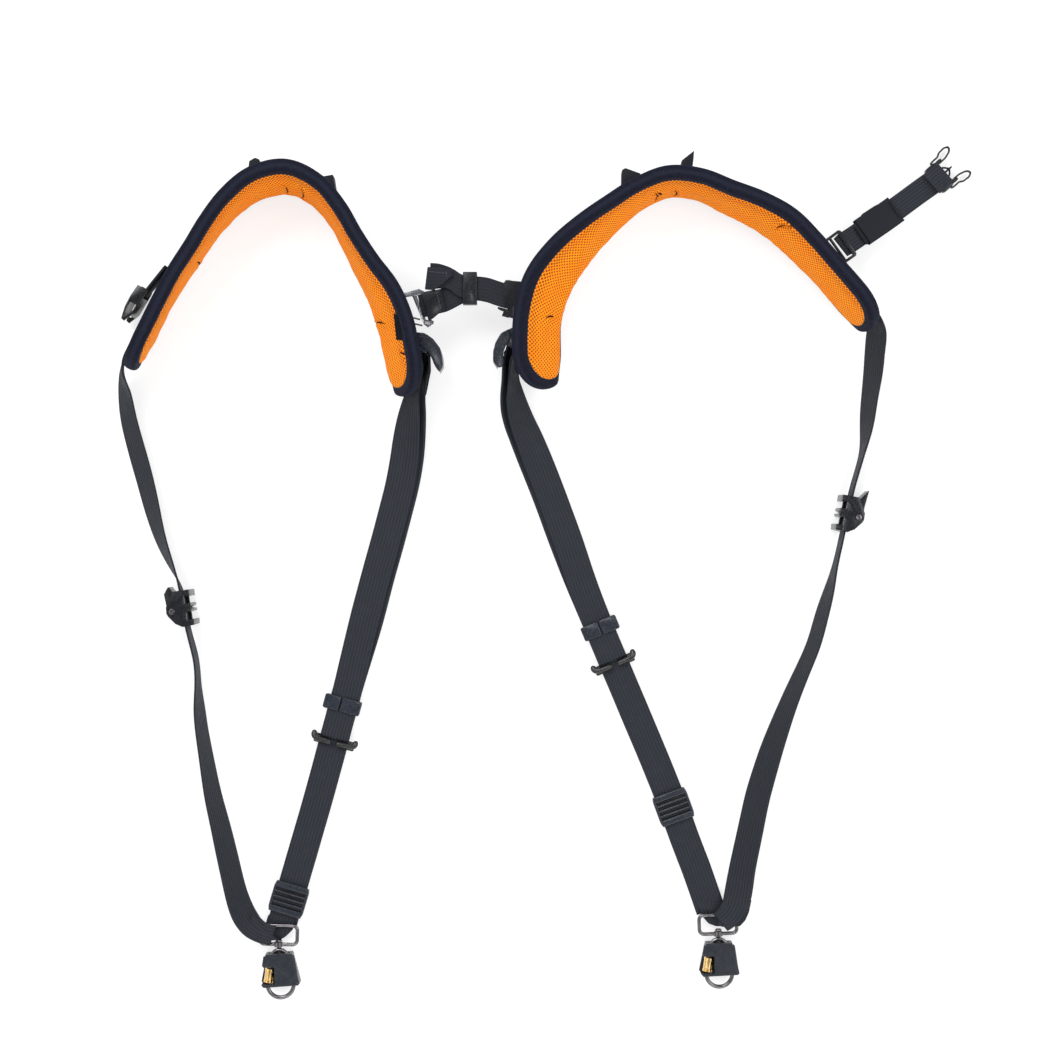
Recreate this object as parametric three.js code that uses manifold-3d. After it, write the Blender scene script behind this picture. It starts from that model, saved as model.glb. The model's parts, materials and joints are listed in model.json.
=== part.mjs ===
// Double shoulder carrying harness: two padded shoulder loops joined by a coupler strap,
// each with a sliding ring, swivel carabiner and hinged cover. Millimetres, +Z up,
// laid out flat: the webbing lies along the XY plane and the pads stand on edge.
import * as THREE from "three";
import { mergeVertices } from "three/addons/utils/BufferGeometryUtils.js";
import Module from "manifold-3d";

const wasm = await Module();
wasm.setup();

// ---- driving dimensions -------------------------------------------------
const WEB_T = 1.7; // webbing thickness (25.4 mm wide, width is in the tables)
const PAD_HALF = 36; // half of the pad's developed width
const PAD_END = 32; // length of the rounded pad end
const PAD_EDGE_T = 4.1; // half thickness of the stack inside the binding
const PAD_CROWN = 1.2; // extra thickness of each face in the middle
const BIND_IN = 4.7; // inside half width of the binding channel
const BIND_OUT = 5.7; // outside half width of the binding channel
const BIND_FLANGE = 8; // depth of the binding over each face
const RING_W = 32.2, RING_H = 16.2, RING_R = 1.6; // ring centreline size and wire radius
const HOOK_R = 1.75; // carabiner wire radius
const TOP_ARC = [-11.4, 6.9], LOW_ARC = [-34.3, 11.25]; // carabiner arcs: centre y, radius
const HANG_Z = 6.7; // height of the ring and carabiner plane
const COVER_TOP = 7, COVER_LOW = 34.6; // cover length along the carabiner
const COVER_HALF_TOP = 11.3, COVER_HALF_LOW = 17, COVER_WALL = 1.6;
const GATE_A = [-7.2, -13.4], GATE_B = [-10.6, -33.3]; // gate pivot and free end
const SLEEVE_R = 4.3, SLEEVE_BORE = 2.1, SLEEVE_FROM = 6.4, SLEEVE_LEN = 12.8;
const LOCK_Z = 32; // mid height of the lever locks
const COUPLER_Z = 34; // height of the coupler strap
const SHIFT = [-11.8, 36.125, -0.2]; // moves the whole part so that the middle of its base is the origin

// ---- tables of the soft parts -------------------------------------------
// pad: x, y of the mid surface at mid height, outward lean in degrees
const PAD_L = [
  [-339.5, 138.81, -5.03],
  [-323.76, 170.22, -5.04],
  [-312.03, 193.57, -4.88],
  [-299.17, 216.31, -3.85],
  [-284.42, 237.89, -2.4],
  [-269.68, 259.45, -0.05],
  [-251.9, 278.56, 3.97],
  [-230.14, 292.75, 8.31],
  [-204.63, 296.71, 11.2],
  [-181.23, 285.8, 11.11],
  [-163.88, 266.38, 10.17],
  [-150.95, 243.69, 10.47],
  [-138.88, 220.51, 15.24],
  [-126.29, 197.61, 21.92],
  [-117.27, 173.11, 24.5],
  [-112.1, 147.55, 24.92],
  [-104.21, 116.64, 24.92],
];
const PAD_R = [
  [9.42, 122.05, 34.91],
  [9.13, 153.62, 34.89],
  [10.75, 180.11, 35.64],
  [18.33, 205.58, 36.17],
  [32.39, 228.12, 30.75],
  [49.73, 248.31, 22.35],
  [69.21, 266.45, 14.8],
  [90.33, 282.63, 10.17],
  [114.63, 293.14, 8.01],
  [140.94, 291.52, 6.65],
  [165.34, 280.94, 8.67],
  [189.46, 269.66, 12.52],
  [211.97, 255.52, 15.12],
  [231.41, 237.34, 13.43],
  [249.91, 218.2, 10.76],
  [267.57, 198.26, 10.45],
  [288.42, 173.2, 10.45],
];
// webbing: x, y, z of the middle, width direction, half width
const LREAR = [
  [-338.92, 157.72, 35.5, -0.016, -0.213, 0.977, 12.7],
  [-343.7, 149.01, 33.53, -0.021, -0.313, 0.949, 12.7],
  [-346.74, 140.48, 29.64, 0.09, -0.501, 0.861, 12.7],
  [-347.67, 132.08, 24.1, 0.343, -0.54, 0.769, 12.7],
  [-347.87, 123.59, 18.29, 0.529, -0.449, 0.72, 12.7],
  [-347.97, 114.67, 13.47, 0.62, -0.276, 0.734, 12.7],
  [-347.35, 105.09, 10.9, 0.656, -0.047, 0.754, 12.7],
  [-345.72, 95.08, 10.3, 0.661, 0.106, 0.743, 12.7],
  [-343.36, 85.08, 10.21, 0.664, 0.159, 0.731, 12.7],
  [-340.72, 75.17, 10.09, 0.671, 0.174, 0.72, 12.7],
  [-338.01, 65.27, 10.01, 0.675, 0.186, 0.714, 12.7],
  [-335.21, 55.4, 10.02, 0.673, 0.193, 0.714, 12.7],
  [-332.47, 45.51, 10.12, 0.665, 0.187, 0.723, 12.7],
  [-329.9, 35.57, 10.26, 0.654, 0.179, 0.735, 12.7],
  [-327.39, 25.62, 10.45, 0.635, 0.181, 0.751, 12.7],
  [-324.84, 15.68, 10.77, 0.599, 0.188, 0.778, 12.7],
  [-322.15, 5.79, 11.2, 0.545, 0.194, 0.816, 12.7],
  [-319.14, -4.01, 11.64, 0.479, 0.198, 0.855, 12.7],
  [-315.64, -13.64, 12.06, 0.398, 0.214, 0.892, 12.7],
  [-311.59, -23.01, 12.83, 0.299, 0.24, 0.924, 12.7],
  [-307.25, -32.19, 14.15, 0.197, 0.216, 0.956, 12.7],
  [-303.13, -41.49, 15.26, 0.112, 0.123, 0.986, 12.7],
  [-299.97, -51.18, 15.71, 0.051, 0.041, 0.998, 12.7],
  [-297.93, -61.21, 15.81, 0.023, 0.009, 1, 12.7],
  [-296.3, -71.34, 15.8, 0.018, -0.001, 1, 12.7],
  [-294.4, -81.42, 15.72, 0.021, -0.02, 1, 12.7],
  [-292.05, -91.39, 15.32, 0.028, -0.061, 0.998, 12.7],
  [-289.54, -101.29, 14.37, 0.024, -0.091, 0.996, 12.7],
  [-287.54, -111.26, 13.39, 0.01, -0.064, 0.998, 12.7],
  [-286.49, -121.41, 13.05, -0.004, -0.017, 1, 12.7],
  [-286.01, -131.67, 13.06, -0.036, -0.003, 0.999, 12.7],
  [-285.54, -141.92, 13.03, -0.115, -0.012, 0.993, 12.7],
  [-284.84, -152.16, 12.94, -0.202, -0.024, 0.979, 12.7],
  [-283.87, -162.37, 12.86, -0.248, -0.034, 0.968, 12.7],
  [-282.56, -172.55, 12.8, -0.268, -0.045, 0.962, 12.7],
  [-280.94, -182.68, 12.73, -0.291, -0.055, 0.955, 12.7],
  [-279.25, -192.81, 12.64, -0.318, -0.063, 0.946, 12.7],
  [-277.57, -202.93, 12.52, -0.349, -0.071, 0.934, 12.7],
  [-275.84, -213.05, 12.38, -0.38, -0.081, 0.922, 12.7],
  [-273.97, -223.14, 12.23, -0.409, -0.095, 0.908, 12.7],
  [-271.82, -233.17, 12.07, -0.435, -0.114, 0.893, 12.7],
  [-269.43, -243.15, 11.9, -0.463, -0.127, 0.877, 12.7],
  [-267.02, -253.13, 11.71, -0.492, -0.133, 0.86, 12.7],
  [-264.73, -263.13, 11.51, -0.522, -0.134, 0.843, 12.7],
  [-262.47, -273.14, 11.34, -0.545, -0.135, 0.827, 12.7],
  [-260.21, -283.15, 11.21, -0.561, -0.136, 0.816, 12.7],
  [-257.96, -293.17, 11.11, -0.573, -0.138, 0.808, 12.7],
  [-255.69, -303.18, 11, -0.582, -0.154, 0.798, 12.7],
  [-253.14, -313.11, 10.78, -0.605, -0.169, 0.778, 12.7],
  [-249.84, -322.66, 11.3, -0.659, -0.203, 0.724, 12.51],
  [-245.44, -331.59, 12.6, -0.693, -0.374, 0.617, 11.72],
  [-239.42, -339.5, 12.8, -0.613, -0.664, 0.429, 10.32],
  [-231.38, -345.15, 11.7, -0.419, -0.887, 0.196, 9.06],
  [-221.91, -348.34, 10.2, -0.319, -0.948, 0, 8.5],
];
const LFRONT = [
  [-215.88, -350.45, 1.6, 0.992, -0.129, 0, 12.7],
  [-214.17, -337.27, 3.5, 0.982, -0.188, 0, 12.7],
  [-210.89, -324.29, 4.42, 0.963, -0.268, 0, 12.7],
  [-206.97, -311.41, 4.4, 0.959, -0.285, 0, 12.7],
  [-203.21, -298.47, 4.4, 0.96, -0.279, 0, 12.7],
  [-199.45, -285.54, 4.4, 0.96, -0.28, 0, 12.7],
  [-195.67, -272.61, 4.4, 0.96, -0.28, 0, 12.7],
  [-191.92, -259.68, 4.4, 0.96, -0.279, 0, 12.7],
  [-188.16, -246.74, 4.4, 0.961, -0.277, 0, 12.7],
  [-184.46, -233.79, 4.4, 0.962, -0.272, 0, 12.7],
  [-180.85, -220.82, 4.45, 0.964, -0.266, 0, 12.7],
  [-177.3, -207.83, 4.5, 0.965, -0.262, 0, 12.7],
  [-173.79, -194.83, 4.33, 0.966, -0.258, 0, 12.7],
  [-170.35, -181.82, 3.81, 0.967, -0.255, 0, 12.7],
  [-166.92, -168.8, 3.22, 0.967, -0.256, 0, 12.7],
  [-163.46, -155.79, 2.97, 0.966, -0.258, 0, 12.7],
  [-159.96, -142.79, 3.03, 0.963, -0.269, 0, 12.7],
  [-156.22, -129.85, 3.05, 0.959, -0.285, 0, 12.7],
  [-152.28, -116.97, 3.05, 0.956, -0.292, 0, 12.7],
  [-148.35, -104.08, 3.05, 0.956, -0.293, 0, 12.7],
  [-144.39, -91.21, 3.05, 0.957, -0.289, 0, 12.7],
  [-140.56, -78.3, 3.05, 0.962, -0.273, 0, 12.7],
  [-137.04, -65.3, 3.05, 0.967, -0.255, 0, 12.7],
  [-133.69, -52.25, 3.05, 0.968, -0.252, 0, 12.7],
  [-130.25, -39.23, 3.05, 0.965, -0.262, 0, 12.7],
  [-126.63, -26.26, 3.05, 0.963, -0.269, 0, 12.7],
  [-122.99, -13.29, 3.05, 0.964, -0.266, 0, 12.7],
  [-119.48, -0.29, 3.04, 0.966, -0.257, -0.002, 12.7],
  [-116.07, 12.74, 3.03, 0.968, -0.252, -0.004, 12.7],
  [-112.67, 25.78, 3.04, 0.969, -0.248, 0.012, 12.7],
  [-109.41, 38.84, 3.37, 0.972, -0.229, 0.052, 12.7],
  [-106.61, 51.95, 4.73, 0.971, -0.207, 0.115, 12.7],
  [-104.27, 64.99, 7.08, 0.954, -0.205, 0.218, 12.7],
  [-102.34, 77.92, 10.38, 0.904, -0.234, 0.357, 12.7],
  [-100.38, 90.71, 14.1, 0.81, -0.295, 0.507, 12.7],
  [-98.12, 103.28, 18.38, 0.668, -0.358, 0.653, 12.7],
  [-95.7, 115.7, 23.03, 0.46, -0.412, 0.786, 12.7],
  [-91.9, 127.77, 27.56, 0.224, -0.356, 0.907, 12.7],
  [-87.16, 140.01, 30.46, 0.095, -0.188, 0.978, 12.7],
  [-86.98, 153.36, 32, 0.001, -0.104, 0.995, 12.7],
  [-87.29, 154.73, 32, 0, 0, 1, 12.7],
  [-88.14, 155.85, 32, 0, 0, 1, 12.7],
  [-89.39, 156.49, 32, 0, 0, 1, 12.7],
  [-91.07, 156.49, 32, 0, 0, 1, 12.7],
  [-92.32, 155.85, 32, 0, 0, 1, 12.7],
  [-93.17, 154.73, 32, 0, 0, 1, 12.7],
  [-93.48, 153.36, 32, 0.001, -0.059, 0.998, 12.7],
  [-92.99, 139.62, 31.1, 0.113, -0.139, 0.984, 12.7],
  [-97.55, 126.83, 28.73, 0.257, -0.315, 0.914, 12.7],
  [-101.19, 114.16, 24.63, 0.491, -0.373, 0.787, 12.7],
  [-103.66, 101.23, 20.41, 0.696, -0.323, 0.641, 12.7],
  [-105.66, 88.17, 16.4, 0.838, -0.256, 0.482, 12.7],
  [-107.3, 74.93, 12.77, 0.924, -0.199, 0.326, 12.7],
  [-108.96, 61.6, 9.5, 0.966, -0.181, 0.187, 12.7],
  [-111.25, 48.17, 7.23, 0.975, -0.199, 0.095, 12.7],
  [-114.1, 34.71, 5.98, 0.973, -0.227, 0.037, 12.7],
  [-117.47, 21.31, 5.77, 0.969, -0.247, 0.004, 12.7],
  [-120.93, 7.93, 5.71, 0.968, -0.253, -0.004, 12.7],
  [-124.46, -5.43, 5.75, 0.965, -0.261, 0, 12.7],
  [-128.13, -18.75, 5.75, 0.963, -0.268, 0, 12.7],
  [-131.87, -32.05, 5.75, 0.964, -0.268, 0, 12.7],
  [-135.53, -45.38, 5.75, 0.965, -0.261, 0, 12.7],
  [-139.09, -58.73, 5.75, 0.967, -0.255, 0, 12.7],
  [-142.56, -72.1, 5.75, 0.969, -0.246, 0, 12.7],
  [-145.89, -85.51, 5.75, 0.972, -0.236, 0, 12.7],
  [-149.08, -98.96, 5.75, 0.973, -0.231, 0, 12.7],
  [-152.26, -112.4, 5.75, 0.973, -0.23, 0, 12.7],
  [-155.43, -125.85, 5.75, 0.972, -0.234, 0, 12.7],
  [-158.74, -139.27, 5.75, 0.968, -0.25, 0, 12.7],
  [-162.35, -152.6, 5.69, 0.965, -0.262, 0, 12.7],
  [-165.98, -165.93, 5.82, 0.966, -0.259, 0, 12.7],
  [-169.51, -179.28, 6.4, 0.967, -0.256, 0, 12.7],
];
const RREAR = [
  [284.06, 190.53, 35.5, 0.291, -0.077, 0.954, 12.7],
  [289.94, 183.22, 33.12, 0.383, -0.173, 0.907, 12.7],
  [293.94, 176.01, 28.54, 0.495, -0.395, 0.774, 12.7],
  [295.37, 168.77, 22.25, 0.519, -0.518, 0.68, 12.7],
  [295.43, 161.16, 16.09, 0.528, -0.449, 0.721, 12.7],
  [295.24, 152.61, 12.29, 0.525, -0.231, 0.819, 12.7],
  [294.67, 143.05, 11.47, 0.523, -0.067, 0.85, 12.7],
  [293.62, 133.19, 11.76, 0.499, -0.036, 0.866, 12.7],
  [292.26, 123.41, 12.03, 0.455, -0.042, 0.89, 12.7],
  [290.86, 113.64, 12.24, 0.416, -0.037, 0.909, 12.7],
  [289.7, 103.84, 12.41, 0.382, -0.024, 0.924, 12.7],
  [288.72, 94.02, 12.61, 0.327, -0.013, 0.945, 12.7],
  [287.6, 84.21, 12.86, 0.225, -0.012, 0.974, 12.7],
  [286.05, 74.46, 12.99, 0.102, -0.004, 0.995, 12.7],
  [283.93, 64.84, 13.15, 0.03, 0.037, 0.999, 12.7],
  [281.23, 55.41, 13.83, 0.026, 0.088, 0.996, 12.7],
  [278.24, 46.07, 14.94, 0.027, 0.089, 0.996, 12.7],
  [275.5, 36.64, 15.67, 0.011, 0.043, 0.999, 12.7],
  [273.25, 27.04, 15.82, 0.001, 0.007, 1, 12.7],
  [271.2, 17.38, 15.8, 0, 0, 1, 12.7],
  [269.13, 7.72, 15.81, 0, 0, 1, 12.7],
  [267.06, -1.94, 15.81, -0.002, -0.01, 1, 12.7],
  [264.99, -11.59, 15.62, -0.01, -0.047, 0.999, 12.7],
  [262.93, -21.2, 14.86, -0.019, -0.093, 0.995, 12.7],
  [260.91, -30.78, 13.75, 0.005, -0.092, 0.996, 12.7],
  [258.74, -40.36, 13.11, 0.078, -0.061, 0.995, 12.7],
  [256.26, -49.91, 12.95, 0.17, -0.061, 0.984, 12.7],
  [253.57, -59.41, 12.83, 0.243, -0.082, 0.966, 12.7],
  [250.84, -68.9, 12.71, 0.29, -0.091, 0.953, 12.7],
  [248.21, -78.42, 12.64, 0.311, -0.09, 0.946, 12.7],
  [245.62, -87.95, 12.61, 0.318, -0.096, 0.943, 12.7],
  [242.68, -97.36, 12.58, 0.32, -0.115, 0.941, 12.7],
  [239.14, -106.57, 12.54, 0.323, -0.138, 0.936, 12.7],
  [235.22, -115.63, 12.46, 0.335, -0.156, 0.929, 12.7],
  [231.24, -124.67, 12.36, 0.355, -0.169, 0.919, 12.7],
  [227.3, -133.72, 12.21, 0.384, -0.18, 0.906, 12.7],
  [223.5, -142.83, 12.03, 0.417, -0.189, 0.889, 12.7],
  [219.86, -152.01, 11.81, 0.452, -0.2, 0.869, 12.7],
  [216.36, -161.24, 11.5, 0.495, -0.214, 0.842, 12.7],
  [212.99, -170.52, 11.15, 0.54, -0.226, 0.811, 12.7],
  [209.7, -179.82, 10.76, 0.583, -0.235, 0.778, 12.7],
  [206.55, -189.17, 10.34, 0.628, -0.235, 0.742, 12.7],
  [203.6, -198.58, 10, 0.664, -0.226, 0.713, 12.7],
  [200.75, -208.04, 9.77, 0.686, -0.221, 0.693, 12.7],
  [197.96, -217.51, 9.56, 0.705, -0.215, 0.675, 12.7],
  [195.35, -227.03, 9.37, 0.726, -0.195, 0.66, 12.7],
  [193.12, -236.64, 9.22, 0.742, -0.174, 0.647, 12.7],
  [191.1, -246.31, 9.07, 0.755, -0.166, 0.635, 12.7],
  [189.12, -255.98, 8.92, 0.765, -0.168, 0.622, 12.7],
  [187.11, -265.65, 8.76, 0.774, -0.172, 0.609, 12.7],
  [185.06, -275.31, 8.6, 0.784, -0.177, 0.595, 12.7],
  [183.07, -284.99, 8.34, 0.799, -0.168, 0.577, 12.7],
  [181.27, -294.65, 8.2, 0.827, -0.12, 0.549, 12.7],
  [179.57, -303.98, 9.48, 0.87, -0.077, 0.486, 12.61],
  [177.7, -313.07, 11.67, 0.902, -0.165, 0.399, 12.16],
  [174.96, -322.22, 12.38, 0.879, -0.389, 0.276, 11.28],
  [170.07, -330.36, 11.63, 0.754, -0.643, 0.132, 10.32],
  [162.98, -336.71, 10.3, 0.667, -0.745, 0, 9.5],
];
const RFRONT = [
  [157.99, -340.53, 1.5, -0.979, -0.206, 0, 12.7],
  [155.25, -327.47, 2.32, -0.964, -0.268, 0, 12.7],
  [150.87, -314.88, 3.62, -0.945, -0.328, 0, 12.7],
  [146.48, -302.22, 4.14, -0.943, -0.333, 0, 12.7],
  [141.95, -289.6, 4.45, -0.937, -0.349, 0, 12.7],
  [137.14, -277.09, 4.45, -0.934, -0.357, 0, 12.7],
  [132.38, -264.56, 4.4, -0.938, -0.347, 0, 12.7],
  [127.83, -251.95, 4.4, -0.941, -0.339, 0, 12.7],
  [123.28, -239.34, 4.4, -0.938, -0.347, 0, 12.7],
  [118.54, -226.8, 4.4, -0.932, -0.361, 0, 12.7],
  [113.6, -214.34, 4.4, -0.928, -0.372, 0, 12.7],
  [108.56, -201.91, 4.4, -0.926, -0.379, 0, 12.7],
  [103.45, -189.52, 4.4, -0.923, -0.384, 0, 12.7],
  [98.25, -177.16, 4.4, -0.921, -0.388, 0, 12.7],
  [93.03, -164.81, 4.4, -0.922, -0.388, 0, 12.7],
  [87.84, -152.46, 4.4, -0.922, -0.388, 0, 12.7],
  [82.64, -140.1, 4.4, -0.921, -0.389, 0, 12.7],
  [77.41, -127.75, 4.45, -0.921, -0.39, 0, 12.7],
  [72.18, -115.41, 4.47, -0.922, -0.388, 0, 12.7],
  [67.01, -103.05, 4.13, -0.923, -0.384, 0, 12.7],
  [61.89, -90.67, 3.55, -0.924, -0.383, 0, 12.7],
  [56.75, -78.3, 3.08, -0.922, -0.388, 0, 12.7],
  [51.5, -65.97, 2.95, -0.919, -0.393, 0, 12.7],
  [46.21, -53.65, 3, -0.921, -0.391, 0, 12.7],
  [41.03, -41.28, 3.05, -0.925, -0.38, 0, 12.7],
  [36.03, -28.85, 3.05, -0.93, -0.369, 0, 12.7],
  [31.15, -16.36, 3.05, -0.933, -0.36, 0, 12.7],
  [26.37, -3.83, 3.05, -0.937, -0.349, -0.001, 12.7],
  [21.8, 8.77, 3.02, -0.94, -0.342, -0.004, 12.7],
  [17.2, 21.36, 3.06, -0.937, -0.348, 0.004, 12.7],
  [12.47, 33.91, 3.14, -0.932, -0.361, 0.035, 12.7],
  [7.54, 46.35, 3.98, -0.921, -0.381, 0.081, 12.7],
  [2.46, 58.65, 5.6, -0.903, -0.404, 0.146, 12.7],
  [-2.71, 70.76, 8.12, -0.865, -0.432, 0.257, 12.7],
  [-7.93, 82.74, 11.1, -0.803, -0.454, 0.386, 12.7],
  [-13.17, 94.63, 14.42, -0.733, -0.447, 0.513, 12.7],
  [-17.15, 106.68, 18.76, -0.647, -0.413, 0.641, 12.7],
  [-19.55, 118.93, 23.62, -0.498, -0.373, 0.783, 12.7],
  [-21.03, 131.47, 28.11, -0.271, -0.298, 0.915, 12.7],
  [-22.2, 144.49, 31.17, -0.088, -0.142, 0.986, 12.7],
  [-19.65, 157.6, 32, -0.011, -0.055, 0.998, 12.7],
  [-19.34, 158.98, 32, 0, 0, 1, 12.7],
  [-18.49, 160.09, 32, 0, 0, 1, 12.7],
  [-17.24, 160.74, 32, 0, 0, 1, 12.7],
  [-15.56, 160.74, 32, 0, 0, 1, 12.7],
  [-14.31, 160.09, 32, 0, 0, 1, 12.7],
  [-13.45, 158.98, 32, 0, 0, 1, 12.7],
  [-13.15, 157.6, 32, -0.005, -0.026, 1, 12.7],
  [-16.21, 144.24, 31.6, -0.09, -0.091, 0.992, 12.7],
  [-15.36, 130.68, 29.33, -0.289, -0.243, 0.926, 12.7],
  [-13.99, 117.61, 25.31, -0.517, -0.338, 0.786, 12.7],
  [-11.31, 104.88, 20.9, -0.667, -0.392, 0.634, 12.7],
  [-7.19, 92.41, 16.87, -0.756, -0.429, 0.494, 12.7],
  [-1.99, 80.08, 13.66, -0.827, -0.433, 0.359, 12.7],
  [3.03, 67.66, 10.59, -0.886, -0.406, 0.226, 12.7],
  [8.05, 55.1, 8.14, -0.915, -0.384, 0.123, 12.7],
  [13.07, 42.4, 6.54, -0.929, -0.366, 0.066, 12.7],
  [17.94, 29.57, 5.84, -0.936, -0.351, 0.022, 12.7],
  [22.69, 16.67, 5.74, -0.938, -0.346, -0.001, 12.7],
  [27.46, 3.78, 5.72, -0.94, -0.342, -0.003, 12.7],
  [32.09, -9.17, 5.75, -0.945, -0.326, 0, 12.7],
  [36.42, -22.21, 5.75, -0.949, -0.314, 0, 12.7],
  [40.72, -35.27, 5.75, -0.947, -0.322, 0, 12.7],
  [45.27, -48.24, 5.74, -0.941, -0.339, 0, 12.7],
  [50.03, -61.13, 5.71, -0.936, -0.353, 0, 12.7],
  [54.96, -73.96, 5.73, -0.93, -0.366, 0, 12.7],
  [60.1, -86.71, 5.89, -0.925, -0.38, 0, 12.7],
  [65.42, -99.38, 6.14, -0.922, -0.387, 0, 12.7],
  [70.74, -112.05, 6.4, -0.922, -0.388, 0, 12.7],
];
const COUPLER = [
  [-93.68, 190.23, 37.5, -0.246, 0.969, 0, 9.4],
  [-89.88, 191.19, 37.71, -0.269, 0.963, 0, 9.99],
  [-86.2, 192.32, 36.97, -0.29, 0.957, 0, 10.01],
  [-82.62, 193.39, 35.82, -0.283, 0.959, 0, 10],
  [-79.01, 194.45, 34.72, -0.273, 0.962, 0, 10],
  [-75.28, 195.47, 34.05, -0.336, 0.942, 0, 10],
  [-71.71, 197.05, 33.92, -0.43, 0.903, 0, 10],
  [-68.21, 198.84, 33.99, -0.463, 0.886, 0, 10],
  [-64.75, 200.69, 34, -0.473, 0.881, 0, 10],
  [-61.3, 202.55, 34, -0.417, 0.909, 0, 10],
  [-57.65, 203.95, 34, -0.31, 0.951, 0, 10],
  [-53.85, 204.97, 34, -0.201, 0.98, 0, 10],
  [-49.98, 205.52, 34, -0.08, 0.997, 0, 10],
  [-46.05, 205.6, 34, 0.034, 0.999, 0, 10],
  [-42.15, 205.26, 34, 0.13, 0.992, 0, 10],
  [-38.28, 204.58, 34, 0.203, 0.979, 0, 10],
  [-34.47, 203.67, 34, 0.264, 0.965, 0, 10],
  [-30.73, 202.52, 33.99, 0.3, 0.954, 0, 10],
  [-26.99, 201.32, 34.01, 0.309, 0.951, 0, 10],
  [-23.27, 200.09, 34.06, 0.308, 0.952, 0, 10],
  [-19.54, 198.91, 34.13, 0.267, 0.964, 0, 10],
  [-15.78, 197.8, 34.2, 0.267, 0.964, 0, 10],
  [-14.56, 197.43, 34.48, 0.267, 0.964, 0, 10],
  [-13.56, 197.07, 35.27, 0.267, 0.964, 0, 10],
  [-12.95, 196.76, 36.53, 0.267, 0.964, 0, 10],
  [-12.94, 196.61, 37.87, 0.267, 0.964, 0, 10],
  [-13.53, 196.64, 39.13, 0.267, 0.964, 0, 10],
  [-14.52, 196.82, 39.92, 0.267, 0.964, 0, 10],
  [-15.73, 197.13, 40.2, 0.267, 0.964, 0, 10],
  [-19.1, 198.05, 39.85, 0.267, 0.964, 0, 10],
  [-22.44, 199.03, 39.38, 0.301, 0.953, 0, 10],
  [-25.67, 200.13, 38.58, 0.332, 0.943, 0, 10],
  [-28.88, 201.29, 37.75, 0.35, 0.937, 0, 10],
  [-32.12, 202.54, 37.23, 0.365, 0.931, 0, 10],
  [-35.37, 203.84, 36.9, 0.333, 0.943, 0, 10],
  [-38.71, 204.86, 36.67, 0.229, 0.973, 0, 10],
  [-42.17, 205.44, 36.6, 0.125, 0.992, 0, 10.01],
  [-45.68, 205.75, 36.6, 0.037, 0.999, 0, 10],
  [-49.2, 205.7, 36.59, 0.004, 1, 0, 10],
  [-52.69, 205.77, 36.6, 0.121, 0.993, 0, 9.89],
  [-56.13, 206.55, 36.64, 0.302, 0.953, 0, 9.52],
  [-59.36, 207.88, 36.74, 0.464, 0.886, 0, 9.06],
  [-62.31, 209.79, 36.94, 0.535, 0.845, 0, 8.5],
  [-65.29, 211.64, 37.16, 0.513, 0.858, 0, 8.31],
  [-68.35, 213.4, 37.39, 0.443, 0.896, 0, 8.58],
  [-71.55, 214.74, 37.63, 0.285, 0.958, 0, 9.07],
  [-74.98, 215.38, 37.91, 0.138, 0.99, 0, 9.85],
  [-78.49, 215.7, 38.18, 0.076, 0.997, 0, 10.57],
  [-81.99, 215.91, 38.4, 0.045, 0.999, 0, 10.78],
  [-85.49, 216.01, 38.6, 0.029, 1, 0, 10.8],
];
const SIDE = [
  [264.67, 242.43, 20.5, -0.613, 0.79, 0, 9.5],
  [268.45, 245.37, 20.16, -0.589, 0.808, 0, 10.1],
  [272.35, 248.03, 19.34, -0.559, 0.829, 0, 10.24],
  [276.21, 250.59, 18.12, -0.562, 0.827, 0, 10.2],
  [279.98, 253.2, 16.71, -0.571, 0.821, 0, 10.2],
  [283.73, 255.82, 15.26, -0.572, 0.821, 0, 10.2],
  [287.48, 258.43, 13.81, -0.572, 0.82, 0, 10.2],
  [291.22, 261.04, 12.35, -0.572, 0.821, 0, 10.2],
  [294.99, 263.66, 10.96, -0.569, 0.822, 0, 10.2],
  [298.8, 266.28, 9.68, -0.567, 0.824, 0, 10.2],
  [302.63, 268.93, 8.54, -0.574, 0.819, 0, 10.2],
  [306.46, 271.65, 7.64, -0.584, 0.812, 0, 10.2],
  [310.31, 274.45, 6.96, -0.589, 0.808, 0, 10.2],
  [314.15, 277.26, 6.43, -0.592, 0.806, 0, 10.2],
  [318, 280.09, 6.02, -0.593, 0.805, 0, 10.2],
  [321.85, 282.93, 5.71, -0.593, 0.805, 0, 10.2],
  [325.71, 285.77, 5.46, -0.593, 0.805, 0, 10.2],
  [329.56, 288.61, 5.31, -0.592, 0.806, 0, 10.2],
  [333.43, 291.44, 5.21, -0.588, 0.809, 0, 10.2],
  [337.32, 294.25, 5.14, -0.584, 0.812, 0, 10.22],
  [341.22, 297.04, 5.11, -0.581, 0.814, 0, 10.23],
  [345.12, 299.82, 5.1, -0.578, 0.816, 0, 10.17],
  [349.04, 302.58, 5.09, -0.576, 0.817, 0, 10],
  [352.96, 305.34, 5.1, -0.576, 0.818, 0, 9.8],
];

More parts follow.
